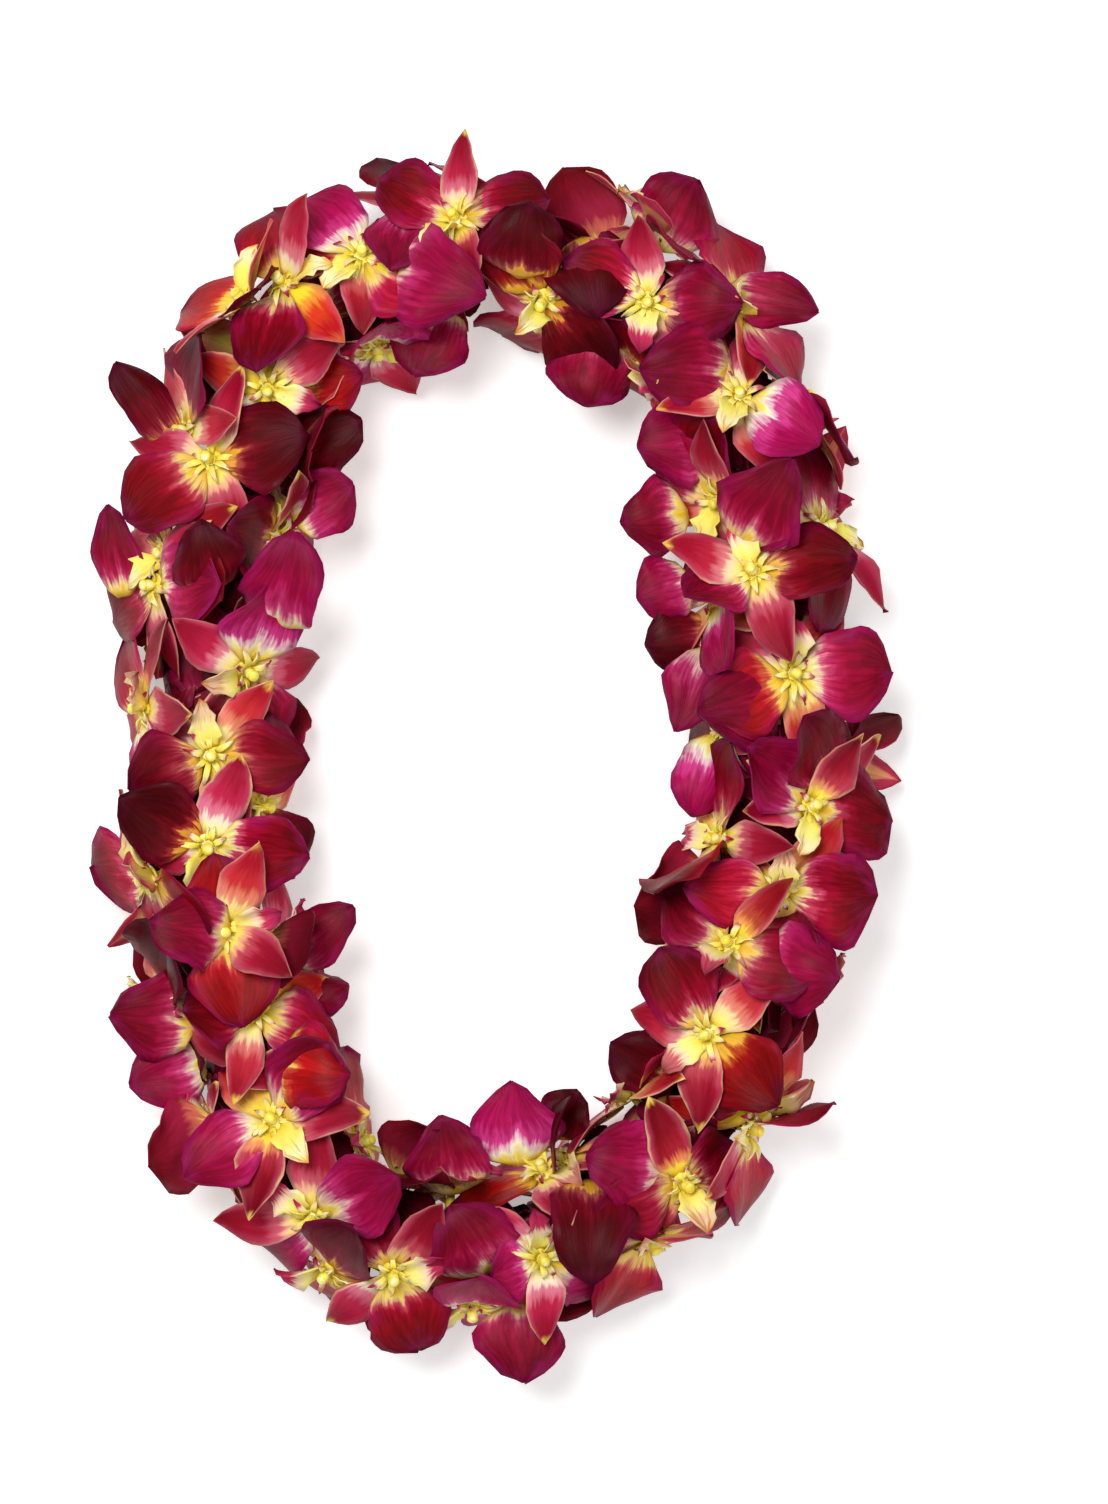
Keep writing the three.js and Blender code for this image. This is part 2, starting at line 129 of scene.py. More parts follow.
# everything that varies has its own channel of draws, to which the number of the tepal is added
channels = {
    "reach": 1, "lean": 2, "size": 3, "facing": 4, "place": 5, "bloom roll": 6,
    "turn": 10, "lift": 20, "curl": 30, "twist": 40, "phase": 50, "fold": 110, "point": 120,
    "tint": 60, "lot": 70, "magenta": 80, "dark": 90, "warm": 100,
    "strand turn": 130, "strand length": 140, "strand lift": 150, "strand curl": 160,
    "strand twist": 170, "strand phase": 180, "strand magenta": 190, "strand lot": 200,
    "inner magenta": 230, "inner dark": 240, "inner lot": 250, "inner turn": 260, "inner aside": 270,
    "inner length": 280, "inner lift": 290, "inner curl": 300, "inner twist": 310, "inner phase": 320,
    "inner fold": 330, "inner point": 340,
    "outer twist": 350, "outer phase": 351, "outer fold": 352, "outer point": 353, "outer lot": 354,
}
up = np.array((0.0, 0.0, 1.0))


def draw(low, high, index, thing, number=0):
    # always the same draw for the same bloom and thing, as in the part's source
    x = math.sin(index * 12.9898 + (channels[thing] + number) * 78.233 + lei["seed"]) * 43758.5453
    return low + (high - low) * (x - math.floor(x))


def unit(vector):
    return vector / np.linalg.norm(vector)


def wide(value):
    return np.asarray(value)[..., None]


def catmullRom(a, b, c, d, t):
    bend = (2 * a - 5 * b + 4 * c - d) * t ** 2 + (3 * b - a - 3 * c + d) * t ** 3
    return 0.5 * (2 * b + (c - a) * t + bend)


def threadStretches():
    chain = []
    for i in range(len(route)):
        near = [np.array(route[(i + step) % len(route)], float) for step in (-1, 0, 1, 2)]
        for j in range(lei["stepsPerSpan"]):
            flat = catmullRom(*near, j / lei["stepsPerSpan"]) - np.array(lei["middle"])
            chain.append(np.array((flat[0], flat[1], lei["threadHeight"])))
    steps = [np.linalg.norm(chain[(i + 1) % len(chain)] - chain[i]) for i in range(len(chain))]
    runs = np.concatenate(([0], np.cumsum(steps)))
    pitch = (runs[-1] - lei["knotRoom"]) / lei["bloomCount"]
    ends = []
    for i in range(lei["bloomCount"] // lei["bloomsPerNode"] + 1):
        along = lei["knotRoom"] / 2 + i * lei["bloomsPerNode"] * pitch
        j = int(np.searchsorted(runs, along, side="right")) - 1
        share = (along - runs[j]) / steps[j]
        ends.append(chain[j] * (1 - share) + chain[(j + 1) % len(chain)] * share)
    return pitch, ends


pitch, stretchEnds = threadStretches()


def stretchOf(index):
    # the ends of the straight stretch of thread that a bloom hangs on
    first = index // lei["bloomsPerNode"]
    return stretchEnds[first], stretchEnds[first + 1]


def nodeOf(index):
    return index // lei["bloomsPerNode"] + 1


def indexAt(along):
    return math.floor((along - lei["knotRoom"] / 2) / pitch)


def bloomAt(index, facing, roll, along):
    start, end = stretchOf(index)
    base = start + (end - start) * (index % lei["bloomsPerNode"] + 0.5) / lei["bloomsPerNode"]
    forward = unit(end - start)
    outward = np.cross(up, forward)
    turn = math.radians(facing)
    face = up * math.cos(turn) + outward * math.sin(turn)
    below = max(0, -math.cos(turn))
    spread = draw(-lei["heartReachSpread"], lei["heartReachSpread"], index, "reach") / 2
    reach = lei["heartReach"] + (lei["heartReachBelow"] - lei["heartReach"]) * below + spread
    slide = along - (lei["knotRoom"] / 2 + (index + 0.5) * pitch)
    heart = base + face * reach + forward * min(max(slide, -pitch / 2), pitch / 2)
    front = unit(face + forward * draw(-lei["leanSpread"], lei["leanSpread"], index, "lean"))
    across = unit(forward - front * forward.dot(front))
    return {
        "index": index, "roll": roll, "base": base, "face": face, "heart": heart, "front": front,
        "across": across, "side": np.cross(front, across),
        "size": draw(lei["smallestBloom"], lei["largestBloom"], index, "size"), "blades": {},
    }


def allBlooms():
    blooms = [None] * lei["bloomCount"]
    for along, facing, roll in facesUp:
        index = indexAt(along)
        blooms[index] = bloomAt(index, facing, roll, along)
    hidden = 0
    for index in range(lei["bloomCount"]):
        if blooms[index]:
            continue
        turn = lei["facesBetween"][hidden % len(lei["facesBetween"])]
        facing = turn + draw(-lei["facingSpread"], lei["facingSpread"], index, "facing")
        along = lei["knotRoom"] / 2 + (index + draw(*lei["placeSpread"], index, "place")) * pitch
        blooms[index] = bloomAt(index, facing, draw(0, 360, index, "bloom roll"), along)
        hidden += 1
    return blooms


def bladeFrame(bloom, number, bend, twist, aside, share):
    # bend, twist, aside and share are arrays of one length, or single numbers
    shape = tepals[number]

    def drawn(spread, thing):
        return draw(-spread, spread, bloom["index"], thing, number)

    angle = np.radians(bloom["roll"] + shape["turn"] + aside + drawn(lei["turnSpread"], "turn"))
    outward = wide(np.cos(angle)) * bloom["across"] + wide(np.sin(angle)) * bloom["side"]
    return {
        "shape": shape,
        "outward": outward,
        "across": np.cross(bloom["front"], outward),
        "front": bloom["front"],
        "length": shape["length"] * bloom["size"] * share,
        "width": shape["halfWidth"] * bloom["size"] * (1 + share) / 2,
        "lift": np.radians(shape["lift"] + bend + drawn(lei["liftSpread"], "lift")),
        "curl": math.radians(shape["curl"] + drawn(lei["curlSpread"], "curl")),
        "twist": np.radians(twist + drawn(lei["twistSpread"], "twist")),
        "phase": math.pi + drawn(math.pi, "phase"),
        "root": bloom["heart"] + outward * lei["whorlRadius"] * lei["rootSeat"],
        "fold": drawn(1, "fold"),
        "point": draw(0, 1, bloom["index"], "point", number),
    }


def spineAt(blade, u):
    angle = blade["lift"] + blade["curl"] * u
    out = blade["length"] * (np.sin(angle) - np.sin(blade["lift"])) / blade["curl"]
    rise = blade["length"] * (np.cos(blade["lift"]) - np.cos(angle)) / blade["curl"]
    return blade["root"] + wide(out) * blade["outward"] + wide(rise) * blade["front"]


def crossAxes(blade, u):
    # the blade's own sideways and upward directions at u
    angle, turn = blade["lift"] + blade["curl"] * u, blade["twist"] * u
    normal = wide(np.cos(angle)) * blade["front"] - wide(np.sin(angle)) * blade["outward"]
    flat = wide(np.cos(turn)) * blade["across"] + wide(np.sin(turn)) * normal
    normal = wide(np.cos(turn)) * normal - wide(np.sin(turn)) * blade["across"]
    return flat, normal


def marginAt(blade, u, way):
    shape = blade["shape"]
    flat, normal = crossAxes(blade, u)
    half = blade["width"] * math.sin(math.pi * u ** shape["outline"][0]) ** shape["outline"][1]
    rise = shape["cup"] * half + shape["wave"] * math.sin(2.2 * math.pi * u + blade["phase"] + way)
    point = spineAt(blade, u) + wide(way * half) * flat + wide(rise) * normal
    point[..., 2] = np.maximum(point[..., 2], 0)
    return point


def missesOf(points, corners):
    # from each point to the nearest corner
    squares = (points ** 2).sum(1)[:, None] + (corners ** 2).sum(1)[None, :] - 2 * points @ corners.T
    return np.sqrt(np.maximum(squares, 0).min(axis=1))


def findBlades(blooms):
    # each tepal's change is the one whose tip and margins are corners of the CAD bloom
    options = np.array([
        (bend, twist, aside, share) for share in changes["share"] for bend in changes["bend"]
        for aside in changes["aside"] for twist in changes["twist"]
    ])
    near = 0.05  # how far from a CAD corner a blade's own corner may be
    found = 0
    for bloom in blooms:
        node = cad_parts[f"blooms_{nodeOf(bloom['index']):02d}"]
        corners = np.array([vertex.co for vertex in node.data.vertices]) / mm
        for number in range(len(tepals)):
            tip = spineAt(bladeFrame(bloom, number, *options.T), 1.0)
            tip[..., 2] = np.maximum(tip[..., 2], 0)
            left = options[missesOf(tip, corners) < near]
            if len(left) == 0:
                continue
            blade = bladeFrame(bloom, number, *left.T)
            first, *_, last = tepals[number]["stations"]
            margins = [marginAt(blade, u, way) for u, way in ((last, 1), (last, -1), (first, 1))]
            miss = np.max([missesOf(margin, corners) for margin in margins], axis=0)
            best = int(np.argmin(miss))
            if miss[best] < near:
                bloom["blades"][number] = bladeFrame(bloom, number, *left[best])
                found += 1
    return found


blooms = allBlooms()
print("tepals found in the CAD blooms:", findBlades(blooms))


# modelling

def only(thing):
    bpy.ops.object.select_all(action="DESELECT")
    thing.select_set(True)
    bpy.context.view_layer.objects.active = thing


def join(things, name):
    bpy.ops.object.select_all(action="DESELECT")
    for thing in things:
        thing.select_set(True)
    bpy.context.view_layer.objects.active = things[0]
    if len(things) > 1:
        bpy.ops.object.join()
    things[0].name = things[0].data.name = name
    return things[0]


def copyOf(thing):
    copied = thing.copy()
    copied.data = thing.data.copy()
    bpy.context.scene.collection.objects.link(copied)
    return copied


def applied(thing, kind, **settings):
    only(thing)
    modifier = thing.modifiers.new(kind.lower(), kind)
    for key, value in settings.items():
        setattr(modifier, key, value)
    bpy.ops.object.modifier_apply(modifier=modifier.name)


def setPoints(thing, points):
    thing.data.vertices.foreach_set("co", (np.asarray(points) * mm).astype(np.float32).ravel())
    thing.data.update()


def setNature(thing, nature):
    # four numbers that a whole tepal has in common, which the materials read
    layer = thing.data.attributes.new("nature", "FLOAT_COLOR", "POINT")
    layer.data.foreach_set("color", np.tile(np.array(nature, np.float32), len(thing.data.vertices)))


def flatBlade(kind, across, along):
    # a flat sheet from -1 to 1 across and from root to tip along, with a UV map over it
    bpy.ops.object.select_all(action="DESELECT")
    bpy.ops.mesh.primitive_grid_add(x_subdivisions=across, y_subdivisions=along, size=2, calc_uvs=True)
    sheet = bpy.context.object
    sheet.name = kind
    sheet.data.uv_layers[0].name = "tepal"
    return sheet


def gridOf(sheet):
    flat = np.array([vertex.co for vertex in sheet.data.vertices])
    return flat[:, 0], (flat[:, 1] + 1) / 2


# materials

def hexColour(text):
    parts = [int(text[i:i + 2], 16) / 255 for i in (1, 3, 5)]
    return tuple(c / 12.92 if c <= 0.04045 else ((c + 0.055) / 1.055) ** 2.4 for c in parts) + (1,)


def addNode(tree, kind, inputs=None, **settings):
    node = tree.nodes.new(kind)
    for key, value in settings.items():
        setattr(node, key, value)
    for key, value in (inputs or {}).items():
        if isinstance(value, bpy.types.NodeSocket):
            tree.links.new(value, node.inputs[key])
        else:
            node.inputs[key].default_value = value
    return node


def newMaterial(name):
    material = bpy.data.materials.new(name)
    material.use_nodes = True
    tree = material.node_tree
    return material, tree, tree.nodes["Principled BSDF"]


def maths(tree, operation, a, b=0.0, clamp=False):
    return addNode(tree, "ShaderNodeMath", {0: a, 1: b}, operation=operation, use_clamp=clamp).outputs[0]


def ranged(tree, value, low, high):
    # 0 below low, 1 above high, and smooth between
    return addNode(tree, "ShaderNodeMapRange", {0: value, 1: low, 2: high, 3: 0.0, 4: 1.0},
                   interpolation_type="SMOOTHSTEP").outputs[0]


def ramp(tree, value, stops):
    node = addNode(tree, "ShaderNodeValToRGB", {0: value})
    node.color_ramp.interpolation = "EASE"
    elements = node.color_ramp.elements
    while len(elements) < len(stops):
        elements.new(0.5)
    for element, (place, colour) in zip(elements, stops):
        element.position = place
        element.color = hexColour(colour)
    return node.outputs[0]


def mixed(tree, share, a, b, way="MIX"):
    # sockets 0, 6 and 7 are the factor and the two colours
    node = addNode(tree, "ShaderNodeMix", data_type="RGBA", blend_type=way)
    for socket, value in zip((node.inputs[0], node.inputs[6], node.inputs[7]), (share, a, b)):
        if isinstance(value, bpy.types.NodeSocket):
            tree.links.new(value, socket)
        else:
            socket.default_value = value
    return node.outputs[2]


grain = {  # the tepals' patterns, in millimetres
    "vein": 1.3333,  # from one vein to the next at the middle of a tepal
    "veinRun": 0.12,  # what a millimetre along a tepal counts as, which draws the veins out
    "cloud": 11.11,  # the blotches where one colour gives way to another
    "cell": 0.45455,  # the skin's cells are really 0.05 wide: drawn as coarse as they need to show
}


def tepalPattern(tree, widthMm, lengthMm):
    # places on a tepal from its own UV map, with streaks that run along its veins
    uv = addNode(tree, "ShaderNodeUVMap", uv_map="tepal").outputs[0]
    place = addNode(tree, "ShaderNodeSeparateXYZ", {0: uv})
    nature = addNode(tree, "ShaderNodeSeparateColor",
                     {0: addNode(tree, "ShaderNodeAttribute", attribute_name="nature").outputs["Color"]})
    lot = addNode(tree, "ShaderNodeAttribute", attribute_name="nature").outputs["Alpha"]
    aside = maths(tree, "SUBTRACT", maths(tree, "MULTIPLY", place.outputs[0], 2.0), 1.0)
    # veins fan out from the root, so that they lie closer together there
    spread = maths(tree, "ADD", maths(tree, "MULTIPLY", place.outputs[1], 0.5), 0.6)
    fan = maths(tree, "MULTIPLY", maths(tree, "SUBTRACT", place.outputs[0], 0.5), spread)
    acrossMm = maths(tree, "MULTIPLY", fan, float(widthMm))
    alongMm = maths(tree, "MULTIPLY", place.outputs[1], float(lengthMm))
    where = addNode(tree, "ShaderNodeCombineXYZ",
                    {0: acrossMm, 1: maths(tree, "MULTIPLY", alongMm, grain["veinRun"]),
                     2: maths(tree, "MULTIPLY", lot, 90.0)}).outputs[0]
    veins = addNode(tree, "ShaderNodeTexNoise",
                    {"Vector": where, "Scale": 1 / grain["vein"], "Detail": 2.0, "Roughness": 0.6})
    cloudAt = addNode(tree, "ShaderNodeCombineXYZ",
                      {0: acrossMm, 1: alongMm, 2: maths(tree, "MULTIPLY", lot, 70.0)}).outputs[0]
    clouds = addNode(tree, "ShaderNodeTexNoise",
                     {"Vector": cloudAt, "Scale": 1 / grain["cloud"], "Detail": 3.0, "Roughness": 0.55})
    cells = addNode(tree, "ShaderNodeTexNoise",
                    {"Vector": cloudAt, "Scale": 1 / grain["cell"], "Detail": 1.0})
    return {
        "along": place.outputs[1], "fromMiddle": maths(tree, "ABSOLUTE", aside), "veins": veins.outputs[0],
        "clouds": clouds.outputs[0], "cells": cells.outputs[0],
        "magenta": nature.outputs[0], "dark": nature.outputs[1], "warm": nature.outputs[2],
    }


def centred(tree, value, size):
    # a pattern's value about 0, as strong as size
    return maths(tree, "MULTIPLY", maths(tree, "SUBTRACT", value, 0.5), size)


def velvet(tree, shader, pattern, roughness, sheen, tint):
    # petal skin: tiny rounded cells give a velvet sheen over a soft gloss, with raised veins
    height = maths(tree, "ADD", maths(tree, "MULTIPLY", pattern["veins"], 0.7),
                   maths(tree, "MULTIPLY", pattern["cells"], 0.3))
    bump = addNode(tree, "ShaderNodeBump", {"Strength": 0.35, "Distance": 0.0006, "Height": height})
    tree.links.new(bump.outputs[0], shader.inputs["Normal"])
    rough = maths(tree, "ADD", centred(tree, pattern["clouds"], 0.25), roughness)
    tree.links.new(rough, shader.inputs["Roughness"])
    shader.inputs["Sheen Weight"].default_value = sheen
    shader.inputs["Sheen Roughness"].default_value = 0.45
    shader.inputs["Sheen Tint"].default_value = hexColour(tint)
    shader.inputs["Specular IOR Level"].default_value = 0.5
    shader.inputs["IOR"].default_value = 1.16


petalStops = {  # from root to tip
    "crimson": ((0.0, "#f4d43c"), (0.1, "#fbf08c"), (0.15, "#f9d4a8"), (0.22, "#d8486c"),
                (0.36, "#aa0c30"), (0.58, "#88081a"), (0.8, "#6a0510"), (1.0, "#5a0614")),
    "magenta": ((0.0, "#f6de58"), (0.1, "#fcf6cc"), (0.18, "#f8c8d4"), (0.28, "#d43c88"),
                (0.5, "#b00c54"), (0.8, "#94063a"), (1.0, "#7a0630")),
    "maroon": ((0.0, "#d8a020"), (0.08, "#e89c40"), (0.14, "#9c2828"), (0.28, "#680612"),
               (0.6, "#480308"), (0.85, "#3a0205"), (1.0, "#300204")),
    "scarlet": ((0.0, "#f4d23c"), (0.11, "#fac844"), (0.2, "#e05818"), (0.32, "#c01410"),
                (0.65, "#9c0a0a"), (0.9, "#780606"), (1.0, "#5c0505")),
}


def petalFace():
    # dendrobium petal, upper side: white and yellow at the root, crimson to magenta beyond it
    material, tree, shader = newMaterial("petal skin, crimson")
    pattern = tepalPattern(tree, 34, 34)
    fade = maths(tree, "ADD", pattern["along"], centred(tree, pattern["veins"], 0.3))
    fade = maths(tree, "ADD", fade, centred(tree, pattern["clouds"], 0.4))
    # the pale root runs up along the midvein
    tongue = ranged(tree, maths(tree, "SUBTRACT", 0.22, pattern["fromMiddle"]), 0.0, 0.2)
    fade = maths(tree, "SUBTRACT", fade, maths(tree, "MULTIPLY", tongue, 0.09))
    paler = maths(tree, "ADD", ranged(tree, pattern["magenta"], 0.7, 1.0), pattern["warm"])
    fade = maths(tree, "SUBTRACT", fade, maths(tree, "MULTIPLY", paler, 0.07))
    colour = ramp(tree, fade, petalStops["crimson"])
    colour = mixed(tree, pattern["magenta"], colour, ramp(tree, fade, petalStops["magenta"]))
    colour = mixed(tree, pattern["dark"], colour, ramp(tree, fade, petalStops["maroon"]))
    colour = mixed(tree, pattern["warm"], colour, ramp(tree, fade, petalStops["scarlet"]))
    # magenta towards the margins: partly the petals' own colour, partly a painted sheen of the velvet
    rimTintAndSheenReach = maths(tree, "MAXIMUM", pattern["fromMiddle"], maths(tree, "SUBTRACT", pattern["along"], 0.06))
    edge = ranged(tree, maths(tree, "ADD", rimTintAndSheenReach, centred(tree, pattern["clouds"], 1.0)), 0.62, 1.08)
    rimTintAndSheenStrength = maths(tree, "SUBTRACT", 0.6, maths(tree, "MULTIPLY", pattern["dark"], 0.5))
    colour = mixed(tree, maths(tree, "MULTIPLY", edge, rimTintAndSheenStrength), colour, hexColour("#a61862"))
    streak = ranged(tree, pattern["veins"], 0.38, 0.6)
    colour = mixed(tree, maths(tree, "MULTIPLY", streak, 0.2), colour, hexColour("#4c0818"), "MULTIPLY")
    tree.links.new(colour, shader.inputs["Base Color"])
    velvet(tree, shader, pattern, 0.42, 0.03, "#d82850")
    return material


def petalBack():
    # the under side is duller, with the root's white reaching further up the middle
    material, tree, shader = newMaterial("petal skin, under side")
    pattern = tepalPattern(tree, 34, 34)
    fade = maths(tree, "ADD", pattern["along"], centred(tree, pattern["veins"], 0.3))
    fade = maths(tree, "ADD", fade, maths(tree, "MULTIPLY", pattern["fromMiddle"], 0.12))
    colour = ramp(tree, fade, ((0.0, "#f0d030"), (0.14, "#f4dc70"), (0.26, "#d87058"), (0.42, "#a42040"),
                               (0.8, "#801024"), (1.0, "#640a14")))
    colour = mixed(tree, maths(tree, "MULTIPLY", pattern["dark"], 0.7), colour, hexColour("#520816"))
    tree.links.new(colour, shader.inputs["Base Color"])
    velvet(tree, shader, pattern, 0.5, 0.03, "#d83858")
    return material


def sepalFace():
    # sepal, upper side: yellow root, pink to crimson blade, cream margins and tip
    material, tree, shader = newMaterial("sepal skin, pink with cream margins")
    pattern = tepalPattern(tree, 18, 33)
    fade = maths(tree, "ADD", pattern["along"], centred(tree, pattern["veins"], 0.3))
    colour = ramp(tree, fade, ((0.0, "#f6de44"), (0.12, "#fcf0a4"), (0.2, "#fbe8cc"), (0.3, "#e07890"),
                               (0.48, "#ba2044"), (0.75, "#9c0e2e"), (0.94, "#8c0a26"), (1.0, "#a83c3c")))
    deep = ramp(tree, fade, ((0.0, "#f0d020"), (0.12, "#f4d840"), (0.2, "#e88850"), (0.32, "#a81c2c"),
                             (0.6, "#840a1c"), (0.95, "#6c0814"), (1.0, "#842028")))
    colour = mixed(tree, pattern["dark"], colour, deep)
    warm = ramp(tree, fade, ((0.0, "#f8e428"), (0.2, "#fadf38"), (0.34, "#f09838"), (0.5, "#d83c20"),
                             (0.8, "#b41018"), (1.0, "#c86030")))
    colour = mixed(tree, pattern["warm"], colour, warm)
    tip = maths(tree, "ADD", pattern["along"], centred(tree, pattern["clouds"], 0.3))
    tip = maths(tree, "MULTIPLY", ranged(tree, tip, 0.86, 0.98), ranged(tree, pattern["magenta"], 0.45, 0.6))
    colour = mixed(tree, tip, colour, hexColour("#f2cc58"))
    margin = maths(tree, "ADD", pattern["fromMiddle"], centred(tree, pattern["clouds"], 0.4))
    blush = maths(tree, "MULTIPLY", ranged(tree, margin, 0.5, 1.0), 0.3)
    colour = mixed(tree, blush, colour, hexColour("#e06888"))
    cream = maths(tree, "MULTIPLY", pattern["magenta"], 0.75)
    rim = maths(tree, "MULTIPLY", ranged(tree, margin, 0.86, 1.08), cream)
    colour = mixed(tree, rim, colour, hexColour("#f8dca0"))
    tree.links.new(colour, shader.inputs["Base Color"])
    velvet(tree, shader, pattern, 0.45, 0.03, "#e87898")
    return material


def sepalBack():
    # the under side is pale: cream and yellow-green along the middle, pink towards the margins
    material, tree, shader = newMaterial("sepal skin, under side")
    pattern = tepalPattern(tree, 18, 33)
    fade = maths(tree, "ADD", maths(tree, "MULTIPLY", pattern["along"], 0.55),
                 maths(tree, "MULTIPLY", pattern["fromMiddle"], 0.35))
    fade = maths(tree, "ADD", fade, centred(tree, pattern["veins"], 0.3))
    colour = ramp(tree, fade, ((0.0, "#e8cc28"), (0.22, "#f0dc60"), (0.42, "#e89870"), (0.58, "#b83450"),
                               (1.0, "#941432")))
    tree.links.new(colour, shader.inputs["Base Color"])
    velvet(tree, shader, pattern, 0.48, 0.03, "#e8a0a8")
    return material


def lipSkin():
    # lip: yellow and white throat with magenta veins, deep magenta front lobe
    material, tree, shader = newMaterial("lip skin, magenta with yellow throat")
    pattern = tepalPattern(tree, 15, 20)
    fade = maths(tree, "ADD", pattern["along"], centred(tree, pattern["veins"], 0.4))
    yellow = ramp(tree, fade, ((0.0, "#f2d440"), (0.45, "#fbee70"), (0.75, "#fcf4b8"), (1.0, "#eab048")))
    tipped = ramp(tree, fade, ((0.0, "#f6e050"), (0.35, "#fbf08c"), (0.5, "#f8d8b8"), (0.66, "#c03058"),
                               (1.0, "#8c1040")))
    stripes = ranged(tree, pattern["veins"], 0.52, 0.66)
    stripes = maths(tree, "MULTIPLY", stripes, ranged(tree, fade, 0.3, 0.7))
    yellow = mixed(tree, maths(tree, "MULTIPLY", stripes, 0.6), yellow, hexColour("#d86830"))
    colour = mixed(tree, ranged(tree, pattern["magenta"], 0.35, 0.7), yellow, tipped)
    tree.links.new(colour, shader.inputs["Base Color"])
    velvet(tree, shader, pattern, 0.4, 0.05, "#f0d0a0")
    return material


def waxy(name, colours, roughness, mottleMm):
    # column, neck and base: waxy flesh, mottled from one colour to another
    material, tree, shader = newMaterial(name)
    place = addNode(tree, "ShaderNodeTexCoord").outputs["Object"]
    mottle = addNode(tree, "ShaderNodeTexNoise",
                     {"Vector": place, "Scale": 1 / (mottleMm * mm), "Detail": 3.0})
    colour = ramp(tree, mottle.outputs[0], tuple(zip((0.3, 0.5, 0.7), colours)))
    tree.links.new(colour, shader.inputs["Base Color"])
    pores = addNode(tree, "ShaderNodeTexNoise",
                    {"Vector": place, "Scale": 3 / (mottleMm * mm), "Detail": 2.0})
    bump = addNode(tree, "ShaderNodeBump", {"Strength": 0.3, "Distance": 0.0004, "Height": pores.outputs[0]})
    tree.links.new(bump.outputs[0], shader.inputs["Normal"])
    shader.inputs["Roughness"].default_value = roughness
    shader.inputs["Coat Weight"].default_value = 0.15
    shader.inputs["Coat Roughness"].default_value = 0.4
    shader.inputs["IOR"].default_value = 1.4
    return material


def cottonThread(slantMm):
    # matt spun cotton, with the fibres' slant across the thread: the wave repeats every 0.63 of its unit
    material, tree, shader = newMaterial("spun cotton thread")
    place = addNode(tree, "ShaderNodeTexCoord").outputs["Object"]
    slant = addNode(tree, "ShaderNodeTexWave",
                    {"Vector": place, "Scale": 0.63 / (slantMm * mm), "Distortion": 1.5},
                    bands_direction="DIAGONAL")
    colour = ramp(tree, slant.outputs[0], ((0.0, "#d8cba6"), (1.0, "#f2ead2")))
    tree.links.new(colour, shader.inputs["Base Color"])
    bump = addNode(tree, "ShaderNodeBump", {"Strength": 0.6, "Distance": 0.0003, "Height": slant.outputs[0]})
    tree.links.new(bump.outputs[0], shader.inputs["Normal"])
    shader.inputs["Roughness"].default_value = 0.85
    return material


petalSkins = [petalFace(), petalBack(), sepalFace(), sepalBack()]
columnMaterial = waxy("orchid column, waxy cream and yellow", ("#fdf8cc", "#f8ea60", "#f0d428"), 0.4, 3.0)
neckMaterial = waxy("flower neck, yellow", ("#f0d838", "#dcb828", "#a88420"), 0.5, 2.5)
heartSkins = [lipSkin(), columnMaterial, neckMaterial]
print("materials made")


# fine tepals, each over its CAD blade: faces along and across, half the width of the claw at the root,
# how much wider than the CAD blade, depth of the midrib's crease, height of the margins' ripples, fold
# along the middle, how far the tip is pointed, how frayed and lobed the margins are, how far they roll
# up and down, and how far the tip nods

fine = {
    "petal": {"along": 11, "across": 8, "claw": 2.6, "widen": 1.16, "crease": 1.0, "ruffle": 0.9,
              "fold": 0.3, "taper": 0.45, "fray": 0.015, "lobes": 0.1, "roll": 1.3, "nod": 3.0},
    "sepal": {"along": 10, "across": 6, "claw": 3.0, "widen": 1.05, "crease": 0.6, "ruffle": 0.4,
              "fold": 0.35, "taper": 0.25, "fray": 0.02, "lobes": 0.08, "roll": 0.5, "nod": 3.5},
    "lip": {"along": 9, "across": 6, "claw": 2.0, "widen": 0.82, "crease": 0.8, "ruffle": 1.5,
            "fold": 0.4, "taper": 0.3, "fray": 0.14, "lobes": 0.12, "roll": 0.8, "nod": 2.0},
    "inner": {"along": 7, "across": 6, "claw": 4.0, "widen": 1.0, "crease": 1.0, "ruffle": 1.2,
              "fold": 0.4, "taper": 0.5, "fray": 0.0, "lobes": 0.12, "roll": 1.2, "nod": 3.0},
    "strand": {"along": 6, "across": 2, "claw": 0.9, "widen": 1.0, "crease": 0.0, "ruffle": 0.2,
               "fold": 0.5, "taper": 0.3, "fray": 0.1, "lobes": 0.0, "roll": 0.0, "nod": 0.0},
    "thickness": 0.45,
    "lowest": 0.24,  # so that the skin stays above the surface that the lei lies on
}
# each wave of a tepal: its half turns from root to tip, how far the blade's phase shifts it, and how
# far it differs from one margin to the other
waves = {"wave": (2.2, 1, 1), "fray": (11, 5, 1), "lobes": (2.7, 2.3, 1.9), "ruffle": (6.5, 3, 1.5),
         "roll": (1.5, 1.3, 2.2)}
templates = {kind: flatBlade(kind, fine[kind]["across"], fine[kind]["along"])
             for kind in ("petal", "inner", "sepal", "lip", "strand")}


def giveSkins(template, skins, first):
    for skin in skins:
        template.data.materials.append(skin)
    faces = template.data.polygons
    faces.foreach_set("material_index", np.full(len(faces), first, np.int32))


giveSkins(templates["petal"], petalSkins, 0)
giveSkins(templates["inner"], petalSkins, 0)
giveSkins(templates["sepal"], petalSkins, 2)
giveSkins(templates["lip"], heartSkins, 0)
giveSkins(templates["strand"], heartSkins, 0)


def waved(name, blade, u, side):
    turns, shift, apart = waves[name]
    return np.sin(turns * np.pi * u + shift * blade["phase"] + apart * side)


